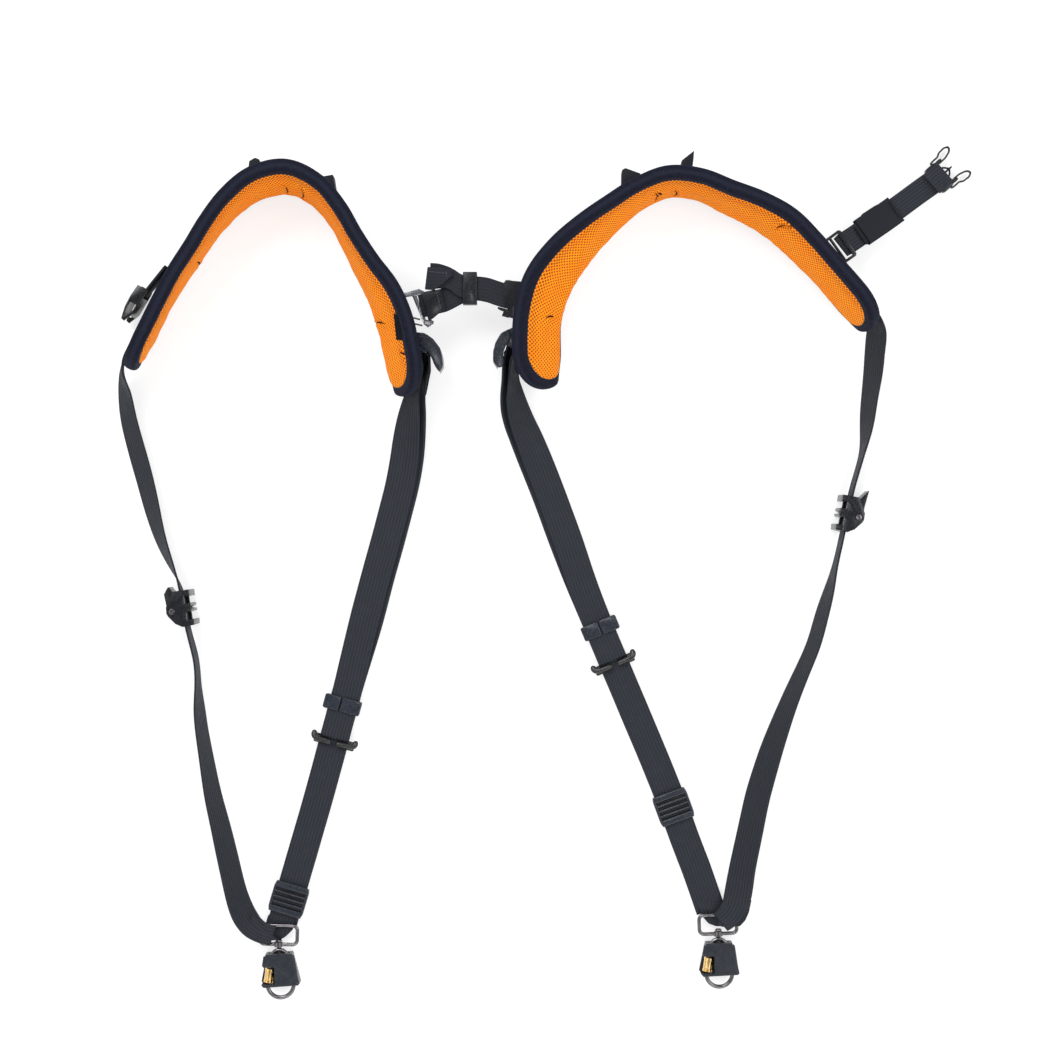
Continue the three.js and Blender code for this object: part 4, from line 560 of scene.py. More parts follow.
LREAR = [
  [-338.92, 157.72, 35.5, -0.016, -0.213, 0.977, 12.7], [-343.7, 149.01, 33.53, -0.021, -0.313, 0.949, 12.7], [-346.74, 140.48, 29.64, 0.09, -0.501, 0.861, 12.7], [-347.67, 132.08, 24.1, 0.343, -0.54, 0.769, 12.7], [-347.87, 123.59, 18.29, 0.529, -0.449, 0.72, 12.7], [-347.97, 114.67, 13.47, 0.62, -0.276, 0.734, 12.7], [-347.35, 105.09, 10.9, 0.656, -0.047, 0.754, 12.7], [-345.72, 95.08, 10.3, 0.661, 0.106, 0.743, 12.7], [-343.36, 85.08, 10.21, 0.664, 0.159, 0.731, 12.7], [-340.72, 75.17, 10.09, 0.671, 0.174, 0.72, 12.7], [-338.01, 65.27, 10.01, 0.675, 0.186, 0.714, 12.7], [-335.21, 55.4, 10.02, 0.673, 0.193, 0.714, 12.7], [-332.47, 45.51, 10.12, 0.665, 0.187, 0.723, 12.7], [-329.9, 35.57, 10.26, 0.654, 0.179, 0.735, 12.7], [-327.39, 25.62, 10.45, 0.635, 0.181, 0.751, 12.7], [-324.84, 15.68, 10.77, 0.599, 0.188, 0.778, 12.7], [-322.15, 5.79, 11.2, 0.545, 0.194, 0.816, 12.7], [-319.14, -4.01, 11.64, 0.479, 0.198, 0.855, 12.7], [-315.64, -13.64, 12.06, 0.398, 0.214, 0.892, 12.7], [-311.59, -23.01, 12.83, 0.299, 0.24, 0.924, 12.7], [-307.25, -32.19, 14.15, 0.197, 0.216, 0.956, 12.7], [-303.13, -41.49, 15.26, 0.112, 0.123, 0.986, 12.7], [-299.97, -51.18, 15.71, 0.051, 0.041, 0.998, 12.7], [-297.93, -61.21, 15.81, 0.023, 0.009, 1, 12.7], [-296.3, -71.34, 15.8, 0.018, -0.001, 1, 12.7], [-294.4, -81.42, 15.72, 0.021, -0.02, 1, 12.7], [-292.05, -91.39, 15.32, 0.028, -0.061, 0.998, 12.7], [-289.54, -101.29, 14.37, 0.024, -0.091, 0.996, 12.7], [-287.54, -111.26, 13.39, 0.01, -0.064, 0.998, 12.7], [-286.49, -121.41, 13.05, -0.004, -0.017, 1, 12.7], [-286.01, -131.67, 13.06, -0.036, -0.003, 0.999, 12.7], [-285.54, -141.92, 13.03, -0.115, -0.012, 0.993, 12.7], [-284.84, -152.16, 12.94, -0.202, -0.024, 0.979, 12.7], [-283.87, -162.37, 12.86, -0.248, -0.034, 0.968, 12.7], [-282.56, -172.55, 12.8, -0.268, -0.045, 0.962, 12.7], [-280.94, -182.68, 12.73, -0.291, -0.055, 0.955, 12.7], [-279.25, -192.81, 12.64, -0.318, -0.063, 0.946, 12.7], [-277.57, -202.93, 12.52, -0.349, -0.071, 0.934, 12.7], [-275.84, -213.05, 12.38, -0.38, -0.081, 0.922, 12.7], [-273.97, -223.14, 12.23, -0.409, -0.095, 0.908, 12.7], [-271.82, -233.17, 12.07, -0.435, -0.114, 0.893, 12.7], [-269.43, -243.15, 11.9, -0.463, -0.127, 0.877, 12.7], [-267.02, -253.13, 11.71, -0.492, -0.133, 0.86, 12.7], [-264.73, -263.13, 11.51, -0.522, -0.134, 0.843, 12.7], [-262.47, -273.14, 11.34, -0.545, -0.135, 0.827, 12.7], [-260.21, -283.15, 11.21, -0.561, -0.136, 0.816, 12.7], [-257.96, -293.17, 11.11, -0.573, -0.138, 0.808, 12.7], [-255.69, -303.18, 11, -0.582, -0.154, 0.798, 12.7], [-253.14, -313.11, 10.78, -0.605, -0.169, 0.778, 12.7], [-249.84, -322.66, 11.3, -0.659, -0.203, 0.724, 12.51], [-245.44, -331.59, 12.6, -0.693, -0.374, 0.617, 11.72], [-239.42, -339.5, 12.8, -0.613, -0.664, 0.429, 10.32], [-231.38, -345.15, 11.7, -0.419, -0.887, 0.196, 9.06], [-221.91, -348.34, 10.2, -0.319, -0.948, 0, 8.5],
]
LFRONT = [
  [-215.88, -350.45, 1.6, 0.992, -0.129, 0, 12.7], [-214.17, -337.27, 3.5, 0.982, -0.188, 0, 12.7], [-210.89, -324.29, 4.42, 0.963, -0.268, 0, 12.7], [-206.97, -311.41, 4.4, 0.959, -0.285, 0, 12.7], [-203.21, -298.47, 4.4, 0.96, -0.279, 0, 12.7], [-199.45, -285.54, 4.4, 0.96, -0.28, 0, 12.7], [-195.67, -272.61, 4.4, 0.96, -0.28, 0, 12.7], [-191.92, -259.68, 4.4, 0.96, -0.279, 0, 12.7], [-188.16, -246.74, 4.4, 0.961, -0.277, 0, 12.7], [-184.46, -233.79, 4.4, 0.962, -0.272, 0, 12.7], [-180.85, -220.82, 4.45, 0.964, -0.266, 0, 12.7], [-177.3, -207.83, 4.5, 0.965, -0.262, 0, 12.7], [-173.79, -194.83, 4.33, 0.966, -0.258, 0, 12.7], [-170.35, -181.82, 3.81, 0.967, -0.255, 0, 12.7], [-166.92, -168.8, 3.22, 0.967, -0.256, 0, 12.7], [-163.46, -155.79, 2.97, 0.966, -0.258, 0, 12.7], [-159.96, -142.79, 3.03, 0.963, -0.269, 0, 12.7], [-156.22, -129.85, 3.05, 0.959, -0.285, 0, 12.7], [-152.28, -116.97, 3.05, 0.956, -0.292, 0, 12.7], [-148.35, -104.08, 3.05, 0.956, -0.293, 0, 12.7], [-144.39, -91.21, 3.05, 0.957, -0.289, 0, 12.7], [-140.56, -78.3, 3.05, 0.962, -0.273, 0, 12.7], [-137.04, -65.3, 3.05, 0.967, -0.255, 0, 12.7], [-133.69, -52.25, 3.05, 0.968, -0.252, 0, 12.7], [-130.25, -39.23, 3.05, 0.965, -0.262, 0, 12.7], [-126.63, -26.26, 3.05, 0.963, -0.269, 0, 12.7], [-122.99, -13.29, 3.05, 0.964, -0.266, 0, 12.7], [-119.48, -0.29, 3.04, 0.966, -0.257, -0.002, 12.7], [-116.07, 12.74, 3.03, 0.968, -0.252, -0.004, 12.7], [-112.67, 25.78, 3.04, 0.969, -0.248, 0.012, 12.7], [-109.41, 38.84, 3.37, 0.972, -0.229, 0.052, 12.7], [-106.61, 51.95, 4.73, 0.971, -0.207, 0.115, 12.7], [-104.27, 64.99, 7.08, 0.954, -0.205, 0.218, 12.7], [-102.34, 77.92, 10.38, 0.904, -0.234, 0.357, 12.7], [-100.38, 90.71, 14.1, 0.81, -0.295, 0.507, 12.7], [-98.12, 103.28, 18.38, 0.668, -0.358, 0.653, 12.7], [-95.7, 115.7, 23.03, 0.46, -0.412, 0.786, 12.7], [-91.9, 127.77, 27.56, 0.224, -0.356, 0.907, 12.7], [-87.16, 140.01, 30.46, 0.095, -0.188, 0.978, 12.7], [-86.98, 153.36, 32, 0.001, -0.104, 0.995, 12.7], [-87.29, 154.73, 32, 0, 0, 1, 12.7], [-88.14, 155.85, 32, 0, 0, 1, 12.7], [-89.39, 156.49, 32, 0, 0, 1, 12.7], [-91.07, 156.49, 32, 0, 0, 1, 12.7], [-92.32, 155.85, 32, 0, 0, 1, 12.7], [-93.17, 154.73, 32, 0, 0, 1, 12.7], [-93.48, 153.36, 32, 0.001, -0.059, 0.998, 12.7], [-92.99, 139.62, 31.1, 0.113, -0.139, 0.984, 12.7], [-97.55, 126.83, 28.73, 0.257, -0.315, 0.914, 12.7], [-101.19, 114.16, 24.63, 0.491, -0.373, 0.787, 12.7], [-103.66, 101.23, 20.41, 0.696, -0.323, 0.641, 12.7], [-105.66, 88.17, 16.4, 0.838, -0.256, 0.482, 12.7], [-107.3, 74.93, 12.77, 0.924, -0.199, 0.326, 12.7], [-108.96, 61.6, 9.5, 0.966, -0.181, 0.187, 12.7], [-111.25, 48.17, 7.23, 0.975, -0.199, 0.095, 12.7], [-114.1, 34.71, 5.98, 0.973, -0.227, 0.037, 12.7], [-117.47, 21.31, 5.77, 0.969, -0.247, 0.004, 12.7], [-120.93, 7.93, 5.71, 0.968, -0.253, -0.004, 12.7], [-124.46, -5.43, 5.75, 0.965, -0.261, 0, 12.7], [-128.13, -18.75, 5.75, 0.963, -0.268, 0, 12.7], [-131.87, -32.05, 5.75, 0.964, -0.268, 0, 12.7], [-135.53, -45.38, 5.75, 0.965, -0.261, 0, 12.7], [-139.09, -58.73, 5.75, 0.967, -0.255, 0, 12.7], [-142.56, -72.1, 5.75, 0.969, -0.246, 0, 12.7], [-145.89, -85.51, 5.75, 0.972, -0.236, 0, 12.7], [-149.08, -98.96, 5.75, 0.973, -0.231, 0, 12.7], [-152.26, -112.4, 5.75, 0.973, -0.23, 0, 12.7], [-155.43, -125.85, 5.75, 0.972, -0.234, 0, 12.7], [-158.74, -139.27, 5.75, 0.968, -0.25, 0, 12.7], [-162.35, -152.6, 5.69, 0.965, -0.262, 0, 12.7], [-165.98, -165.93, 5.82, 0.966, -0.259, 0, 12.7], [-169.51, -179.28, 6.4, 0.967, -0.256, 0, 12.7],
]
RREAR = [
  [284.06, 190.53, 35.5, 0.291, -0.077, 0.954, 12.7], [289.94, 183.22, 33.12, 0.383, -0.173, 0.907, 12.7], [293.94, 176.01, 28.54, 0.495, -0.395, 0.774, 12.7], [295.37, 168.77, 22.25, 0.519, -0.518, 0.68, 12.7], [295.43, 161.16, 16.09, 0.528, -0.449, 0.721, 12.7], [295.24, 152.61, 12.29, 0.525, -0.231, 0.819, 12.7], [294.67, 143.05, 11.47, 0.523, -0.067, 0.85, 12.7], [293.62, 133.19, 11.76, 0.499, -0.036, 0.866, 12.7], [292.26, 123.41, 12.03, 0.455, -0.042, 0.89, 12.7], [290.86, 113.64, 12.24, 0.416, -0.037, 0.909, 12.7], [289.7, 103.84, 12.41, 0.382, -0.024, 0.924, 12.7], [288.72, 94.02, 12.61, 0.327, -0.013, 0.945, 12.7], [287.6, 84.21, 12.86, 0.225, -0.012, 0.974, 12.7], [286.05, 74.46, 12.99, 0.102, -0.004, 0.995, 12.7], [283.93, 64.84, 13.15, 0.03, 0.037, 0.999, 12.7], [281.23, 55.41, 13.83, 0.026, 0.088, 0.996, 12.7], [278.24, 46.07, 14.94, 0.027, 0.089, 0.996, 12.7], [275.5, 36.64, 15.67, 0.011, 0.043, 0.999, 12.7], [273.25, 27.04, 15.82, 0.001, 0.007, 1, 12.7], [271.2, 17.38, 15.8, 0, 0, 1, 12.7], [269.13, 7.72, 15.81, 0, 0, 1, 12.7], [267.06, -1.94, 15.81, -0.002, -0.01, 1, 12.7], [264.99, -11.59, 15.62, -0.01, -0.047, 0.999, 12.7], [262.93, -21.2, 14.86, -0.019, -0.093, 0.995, 12.7], [260.91, -30.78, 13.75, 0.005, -0.092, 0.996, 12.7], [258.74, -40.36, 13.11, 0.078, -0.061, 0.995, 12.7], [256.26, -49.91, 12.95, 0.17, -0.061, 0.984, 12.7], [253.57, -59.41, 12.83, 0.243, -0.082, 0.966, 12.7], [250.84, -68.9, 12.71, 0.29, -0.091, 0.953, 12.7], [248.21, -78.42, 12.64, 0.311, -0.09, 0.946, 12.7], [245.62, -87.95, 12.61, 0.318, -0.096, 0.943, 12.7], [242.68, -97.36, 12.58, 0.32, -0.115, 0.941, 12.7], [239.14, -106.57, 12.54, 0.323, -0.138, 0.936, 12.7], [235.22, -115.63, 12.46, 0.335, -0.156, 0.929, 12.7], [231.24, -124.67, 12.36, 0.355, -0.169, 0.919, 12.7], [227.3, -133.72, 12.21, 0.384, -0.18, 0.906, 12.7], [223.5, -142.83, 12.03, 0.417, -0.189, 0.889, 12.7], [219.86, -152.01, 11.81, 0.452, -0.2, 0.869, 12.7], [216.36, -161.24, 11.5, 0.495, -0.214, 0.842, 12.7], [212.99, -170.52, 11.15, 0.54, -0.226, 0.811, 12.7], [209.7, -179.82, 10.76, 0.583, -0.235, 0.778, 12.7], [206.55, -189.17, 10.34, 0.628, -0.235, 0.742, 12.7], [203.6, -198.58, 10, 0.664, -0.226, 0.713, 12.7], [200.75, -208.04, 9.77, 0.686, -0.221, 0.693, 12.7], [197.96, -217.51, 9.56, 0.705, -0.215, 0.675, 12.7], [195.35, -227.03, 9.37, 0.726, -0.195, 0.66, 12.7], [193.12, -236.64, 9.22, 0.742, -0.174, 0.647, 12.7], [191.1, -246.31, 9.07, 0.755, -0.166, 0.635, 12.7], [189.12, -255.98, 8.92, 0.765, -0.168, 0.622, 12.7], [187.11, -265.65, 8.76, 0.774, -0.172, 0.609, 12.7], [185.06, -275.31, 8.6, 0.784, -0.177, 0.595, 12.7], [183.07, -284.99, 8.34, 0.799, -0.168, 0.577, 12.7], [181.27, -294.65, 8.2, 0.827, -0.12, 0.549, 12.7], [179.57, -303.98, 9.48, 0.87, -0.077, 0.486, 12.61], [177.7, -313.07, 11.67, 0.902, -0.165, 0.399, 12.16], [174.96, -322.22, 12.38, 0.879, -0.389, 0.276, 11.28], [170.07, -330.36, 11.63, 0.754, -0.643, 0.132, 10.32], [162.98, -336.71, 10.3, 0.667, -0.745, 0, 9.5],
]
RFRONT = [
  [157.99, -340.53, 1.5, -0.979, -0.206, 0, 12.7], [155.25, -327.47, 2.32, -0.964, -0.268, 0, 12.7], [150.87, -314.88, 3.62, -0.945, -0.328, 0, 12.7], [146.48, -302.22, 4.14, -0.943, -0.333, 0, 12.7], [141.95, -289.6, 4.45, -0.937, -0.349, 0, 12.7], [137.14, -277.09, 4.45, -0.934, -0.357, 0, 12.7], [132.38, -264.56, 4.4, -0.938, -0.347, 0, 12.7], [127.83, -251.95, 4.4, -0.941, -0.339, 0, 12.7], [123.28, -239.34, 4.4, -0.938, -0.347, 0, 12.7], [118.54, -226.8, 4.4, -0.932, -0.361, 0, 12.7], [113.6, -214.34, 4.4, -0.928, -0.372, 0, 12.7], [108.56, -201.91, 4.4, -0.926, -0.379, 0, 12.7], [103.45, -189.52, 4.4, -0.923, -0.384, 0, 12.7], [98.25, -177.16, 4.4, -0.921, -0.388, 0, 12.7], [93.03, -164.81, 4.4, -0.922, -0.388, 0, 12.7], [87.84, -152.46, 4.4, -0.922, -0.388, 0, 12.7], [82.64, -140.1, 4.4, -0.921, -0.389, 0, 12.7], [77.41, -127.75, 4.45, -0.921, -0.39, 0, 12.7], [72.18, -115.41, 4.47, -0.922, -0.388, 0, 12.7], [67.01, -103.05, 4.13, -0.923, -0.384, 0, 12.7], [61.89, -90.67, 3.55, -0.924, -0.383, 0, 12.7], [56.75, -78.3, 3.08, -0.922, -0.388, 0, 12.7], [51.5, -65.97, 2.95, -0.919, -0.393, 0, 12.7], [46.21, -53.65, 3, -0.921, -0.391, 0, 12.7], [41.03, -41.28, 3.05, -0.925, -0.38, 0, 12.7], [36.03, -28.85, 3.05, -0.93, -0.369, 0, 12.7], [31.15, -16.36, 3.05, -0.933, -0.36, 0, 12.7], [26.37, -3.83, 3.05, -0.937, -0.349, -0.001, 12.7], [21.8, 8.77, 3.02, -0.94, -0.342, -0.004, 12.7], [17.2, 21.36, 3.06, -0.937, -0.348, 0.004, 12.7], [12.47, 33.91, 3.14, -0.932, -0.361, 0.035, 12.7], [7.54, 46.35, 3.98, -0.921, -0.381, 0.081, 12.7], [2.46, 58.65, 5.6, -0.903, -0.404, 0.146, 12.7], [-2.71, 70.76, 8.12, -0.865, -0.432, 0.257, 12.7], [-7.93, 82.74, 11.1, -0.803, -0.454, 0.386, 12.7], [-13.17, 94.63, 14.42, -0.733, -0.447, 0.513, 12.7], [-17.15, 106.68, 18.76, -0.647, -0.413, 0.641, 12.7], [-19.55, 118.93, 23.62, -0.498, -0.373, 0.783, 12.7], [-21.03, 131.47, 28.11, -0.271, -0.298, 0.915, 12.7], [-22.2, 144.49, 31.17, -0.088, -0.142, 0.986, 12.7], [-19.65, 157.6, 32, -0.011, -0.055, 0.998, 12.7], [-19.34, 158.98, 32, 0, 0, 1, 12.7], [-18.49, 160.09, 32, 0, 0, 1, 12.7], [-17.24, 160.74, 32, 0, 0, 1, 12.7], [-15.56, 160.74, 32, 0, 0, 1, 12.7], [-14.31, 160.09, 32, 0, 0, 1, 12.7], [-13.45, 158.98, 32, 0, 0, 1, 12.7], [-13.15, 157.6, 32, -0.005, -0.026, 1, 12.7], [-16.21, 144.24, 31.6, -0.09, -0.091, 0.992, 12.7], [-15.36, 130.68, 29.33, -0.289, -0.243, 0.926, 12.7], [-13.99, 117.61, 25.31, -0.517, -0.338, 0.786, 12.7], [-11.31, 104.88, 20.9, -0.667, -0.392, 0.634, 12.7], [-7.19, 92.41, 16.87, -0.756, -0.429, 0.494, 12.7], [-1.99, 80.08, 13.66, -0.827, -0.433, 0.359, 12.7], [3.03, 67.66, 10.59, -0.886, -0.406, 0.226, 12.7], [8.05, 55.1, 8.14, -0.915, -0.384, 0.123, 12.7], [13.07, 42.4, 6.54, -0.929, -0.366, 0.066, 12.7], [17.94, 29.57, 5.84, -0.936, -0.351, 0.022, 12.7], [22.69, 16.67, 5.74, -0.938, -0.346, -0.001, 12.7], [27.46, 3.78, 5.72, -0.94, -0.342, -0.003, 12.7], [32.09, -9.17, 5.75, -0.945, -0.326, 0, 12.7], [36.42, -22.21, 5.75, -0.949, -0.314, 0, 12.7], [40.72, -35.27, 5.75, -0.947, -0.322, 0, 12.7], [45.27, -48.24, 5.74, -0.941, -0.339, 0, 12.7], [50.03, -61.13, 5.71, -0.936, -0.353, 0, 12.7], [54.96, -73.96, 5.73, -0.93, -0.366, 0, 12.7], [60.1, -86.71, 5.89, -0.925, -0.38, 0, 12.7], [65.42, -99.38, 6.14, -0.922, -0.387, 0, 12.7], [70.74, -112.05, 6.4, -0.922, -0.388, 0, 12.7],
]
COUPLER = [
  [-93.68, 190.23, 37.5, -0.246, 0.969, 0, 9.4], [-89.88, 191.19, 37.71, -0.269, 0.963, 0, 9.99], [-86.2, 192.32, 36.97, -0.29, 0.957, 0, 10.01], [-82.62, 193.39, 35.82, -0.283, 0.959, 0, 10], [-79.01, 194.45, 34.72, -0.273, 0.962, 0, 10], [-75.28, 195.47, 34.05, -0.336, 0.942, 0, 10], [-71.71, 197.05, 33.92, -0.43, 0.903, 0, 10], [-68.21, 198.84, 33.99, -0.463, 0.886, 0, 10], [-64.75, 200.69, 34, -0.473, 0.881, 0, 10], [-61.3, 202.55, 34, -0.417, 0.909, 0, 10], [-57.65, 203.95, 34, -0.31, 0.951, 0, 10], [-53.85, 204.97, 34, -0.201, 0.98, 0, 10], [-49.98, 205.52, 34, -0.08, 0.997, 0, 10], [-46.05, 205.6, 34, 0.034, 0.999, 0, 10], [-42.15, 205.26, 34, 0.13, 0.992, 0, 10], [-38.28, 204.58, 34, 0.203, 0.979, 0, 10], [-34.47, 203.67, 34, 0.264, 0.965, 0, 10], [-30.73, 202.52, 33.99, 0.3, 0.954, 0, 10], [-26.99, 201.32, 34.01, 0.309, 0.951, 0, 10], [-23.27, 200.09, 34.06, 0.308, 0.952, 0, 10], [-19.54, 198.91, 34.13, 0.267, 0.964, 0, 10], [-15.78, 197.8, 34.2, 0.267, 0.964, 0, 10], [-14.56, 197.43, 34.48, 0.267, 0.964, 0, 10], [-13.56, 197.07, 35.27, 0.267, 0.964, 0, 10], [-12.95, 196.76, 36.53, 0.267, 0.964, 0, 10], [-12.94, 196.61, 37.87, 0.267, 0.964, 0, 10], [-13.53, 196.64, 39.13, 0.267, 0.964, 0, 10], [-14.52, 196.82, 39.92, 0.267, 0.964, 0, 10], [-15.73, 197.13, 40.2, 0.267, 0.964, 0, 10], [-19.1, 198.05, 39.85, 0.267, 0.964, 0, 10], [-22.44, 199.03, 39.38, 0.301, 0.953, 0, 10], [-25.67, 200.13, 38.58, 0.332, 0.943, 0, 10], [-28.88, 201.29, 37.75, 0.35, 0.937, 0, 10], [-32.12, 202.54, 37.23, 0.365, 0.931, 0, 10], [-35.37, 203.84, 36.9, 0.333, 0.943, 0, 10], [-38.71, 204.86, 36.67, 0.229, 0.973, 0, 10], [-42.17, 205.44, 36.6, 0.125, 0.992, 0, 10.01], [-45.68, 205.75, 36.6, 0.037, 0.999, 0, 10], [-49.2, 205.7, 36.59, 0.004, 1, 0, 10], [-52.69, 205.77, 36.6, 0.121, 0.993, 0, 9.89], [-56.13, 206.55, 36.64, 0.302, 0.953, 0, 9.52], [-59.36, 207.88, 36.74, 0.464, 0.886, 0, 9.06], [-62.31, 209.79, 36.94, 0.535, 0.845, 0, 8.5], [-65.29, 211.64, 37.16, 0.513, 0.858, 0, 8.31], [-68.35, 213.4, 37.39, 0.443, 0.896, 0, 8.58], [-71.55, 214.74, 37.63, 0.285, 0.958, 0, 9.07], [-74.98, 215.38, 37.91, 0.138, 0.99, 0, 9.85], [-78.49, 215.7, 38.18, 0.076, 0.997, 0, 10.57], [-81.99, 215.91, 38.4, 0.045, 0.999, 0, 10.78], [-85.49, 216.01, 38.6, 0.029, 1, 0, 10.8],
]
SIDE = [
  [264.67, 242.43, 20.5, -0.613, 0.79, 0, 9.5], [268.45, 245.37, 20.16, -0.589, 0.808, 0, 10.1], [272.35, 248.03, 19.34, -0.559, 0.829, 0, 10.24], [276.21, 250.59, 18.12, -0.562, 0.827, 0, 10.2], [279.98, 253.2, 16.71, -0.571, 0.821, 0, 10.2], [283.73, 255.82, 15.26, -0.572, 0.821, 0, 10.2], [287.48, 258.43, 13.81, -0.572, 0.82, 0, 10.2], [291.22, 261.04, 12.35, -0.572, 0.821, 0, 10.2], [294.99, 263.66, 10.96, -0.569, 0.822, 0, 10.2], [298.8, 266.28, 9.68, -0.567, 0.824, 0, 10.2], [302.63, 268.93, 8.54, -0.574, 0.819, 0, 10.2], [306.46, 271.65, 7.64, -0.584, 0.812, 0, 10.2], [310.31, 274.45, 6.96, -0.589, 0.808, 0, 10.2], [314.15, 277.26, 6.43, -0.592, 0.806, 0, 10.2], [318, 280.09, 6.02, -0.593, 0.805, 0, 10.2], [321.85, 282.93, 5.71, -0.593, 0.805, 0, 10.2], [325.71, 285.77, 5.46, -0.593, 0.805, 0, 10.2], [329.56, 288.61, 5.31, -0.592, 0.806, 0, 10.2], [333.43, 291.44, 5.21, -0.588, 0.809, 0, 10.2], [337.32, 294.25, 5.14, -0.584, 0.812, 0, 10.22], [341.22, 297.04, 5.11, -0.581, 0.814, 0, 10.23], [345.12, 299.82, 5.1, -0.578, 0.816, 0, 10.17], [349.04, 302.58, 5.09, -0.576, 0.817, 0, 10], [352.96, 305.34, 5.1, -0.576, 0.818, 0, 9.8],
]
HALF, END, NOSE, FL, BO = 36.0, 32.0, 1.9, 8.0, 5.7


def centripetal(P, n):
    P = [np.array(p, float) for p in P]; l = len(P); out = []
    for q in range(n + 1):
        p = (l - 1) * q / n; i = int(math.floor(p)); w = p - i
        if i == l - 1:
            i, w = l - 2, 1.0
        p0 = P[i - 1] if i > 0 else 2 * P[0] - P[1]
        p1, p2 = P[i], P[i + 1]
        p3 = P[i + 2] if i + 2 < l else 2 * P[-1] - P[-2]
        a, b, c = (max(1e-4, float(np.sum((y - x) ** 2))) ** 0.25 for x, y in ((p0, p1), (p1, p2), (p2, p3)))
        t1 = ((p1 - p0) / a - (p2 - p0) / (a + b) + (p2 - p1) / b) * b
        t2 = ((p2 - p1) / b - (p3 - p1) / (b + c) + (p3 - p2) / c) * b
        out.append(p1 + t1 * w + (-3 * p1 + 3 * p2 - 2 * t1 - t2) * w * w + (2 * p1 - 2 * p2 + t1 + t2) * w**3)
    return np.array(out)


class Pad:
    def __init__(self, table):
        f = centripetal(table, 600); self.f = f
        self.d = np.r_[0, np.cumsum(np.hypot(np.diff(f[:, 0]), np.diff(f[:, 1])))]
        self.L = self.d[-1]

    def at(self, s):
        return np.stack([np.interp(s, self.d, self.f[:, k]) for k in range(3)], -1)

    def frame(self, s):
        s = np.asarray(s, float)
        c, a, b = self.at(s), self.at(s - 4), self.at(s + 4)
        t = b - a; t[..., 2] = 0; t /= np.linalg.norm(t, axis=-1, keepdims=True)
        al = np.radians(c[..., 2]); z = np.zeros_like(al)
        out = np.stack([-t[..., 1], t[..., 0], z], -1)
        w = np.stack([z, z, np.cos(al)], -1) + out * np.sin(al)[..., None]
        n = -out * np.cos(al)[..., None] + np.stack([z, z, np.sin(al)], -1)
        zc = (HALF + 1.9) * np.cos(al) + BO * np.abs(np.sin(al)) + 0.2
        return np.stack([c[..., 0], c[..., 1], zc], -1), t, w, n

    def point(self, s, h, o):
        """s along, h across (up), o out of the inner face"""
        c, t, w, n = self.frame(s)
        h = np.asarray(h, float)
        return c + w * h[..., None] + n * np.asarray(o, float)[..., None] + self.curl(s, h)

    def curl(self, s, h):
        """the lower edge tucks outward, away from the neck side"""
        s = np.asarray(s, float); c, t, w, n = self.frame(s)
        al = np.radians(self.at(s)[..., 2]); e = np.minimum(s, self.L - s)
        D = (4.0 + 13.0 * np.abs(np.sin(al))) * (0.72 + 0.28 * sstep(e, 20, 90)) * sstep(-h, 12, 38)
        return np.stack([-t[..., 1], t[..., 0], np.zeros_like(D)], -1) * D[..., None]

    def half(self, s):
        e = np.clip(np.minimum(s, self.L - s) / END, 0, 1)
        return HALF * np.sqrt(1 - (1 - e) ** 2)

    def edge(self, s, h):
        """distance to the outline in the developed pad"""
        e = np.minimum(s, self.L - s)
        mid = HALF - np.abs(h)
        r = np.sqrt(((END - e) / END) ** 2 + (h / HALF) ** 2)
        return np.where(e < END, np.minimum(mid, (1 - r) * 34.0), mid)


def sstep(x, a, b):
    x = np.clip((x - a) / (b - a), 0, 1)
    return x * x * (3 - 2 * x)


def waves(s, h, seed, n=14, lo=14, hi=60):
    g = np.random.default_rng(seed); v = np.zeros_like(s)
    for _ in range(n):
        l = g.uniform(lo, hi); a = g.uniform(0, math.pi); p = g.uniform(0, 6.28)
        v += np.sin((s * math.cos(a) + h * math.sin(a)) * 2 * math.pi / l + p) / n**0.5
    return v


def slab(name, pad, hi, lo, inset, ns, nh, mat, body, replaces, ulo=0.0):
    """closed slab between offsets hi(s,h) and lo(s,h), its outline inset from the pad's"""
    th = np.linspace(0, 1, ns)
    # denser stations in the rounded ends
    s = inset + (pad.L - 2 * inset) * (th + 0.035 * np.sin(2 * math.pi * th) * -1)
    e = np.clip((np.minimum(s, pad.L - s) - inset) / (END - inset), 0, 1)
    hw = np.maximum((HALF - inset) * np.sqrt(1 - (1 - e) ** 2), 0.8)
    u = np.sin(np.linspace(-1, 1, nh) * math.pi / 2 * 0.92) / math.sin(math.pi / 2 * 0.92)
    S = np.repeat(s[:, None], nh, 1); H = hw[:, None] * u[None]
    top = pad.point(S, H, hi(S, H)); bot = pad.point(S, H, lo(S, H))
    n, m = ns, nh
    V = np.vstack([top.reshape(-1, 3), bot.reshape(-1, 3)])
    UV = np.vstack([np.stack([H, S], -1).reshape(-1, 2)] * 2)
    F = [(i * m + j, i * m + j + 1, (i + 1) * m + j + 1, (i + 1) * m + j) for i in range(n - 1) for j in range(m - 1)]
    k = n * m
    F += [tuple(q + k for q in f[::-1]) for f in F]
    rim = [j for j in range(m)] + [i * m + m - 1 for i in range(1, n)] + [(n - 1) * m + j for j in range(m - 2, -1, -1)] + [i * m for i in range(n - 2, 0, -1)]
    F += [(rim[(i + 1) % len(rim)], rim[i], rim[i] + k, rim[(i + 1) % len(rim)] + k) for i in range(len(rim))]
    return obj_from(name, V, F, mat, body, UV, True, replaces, angle=62)


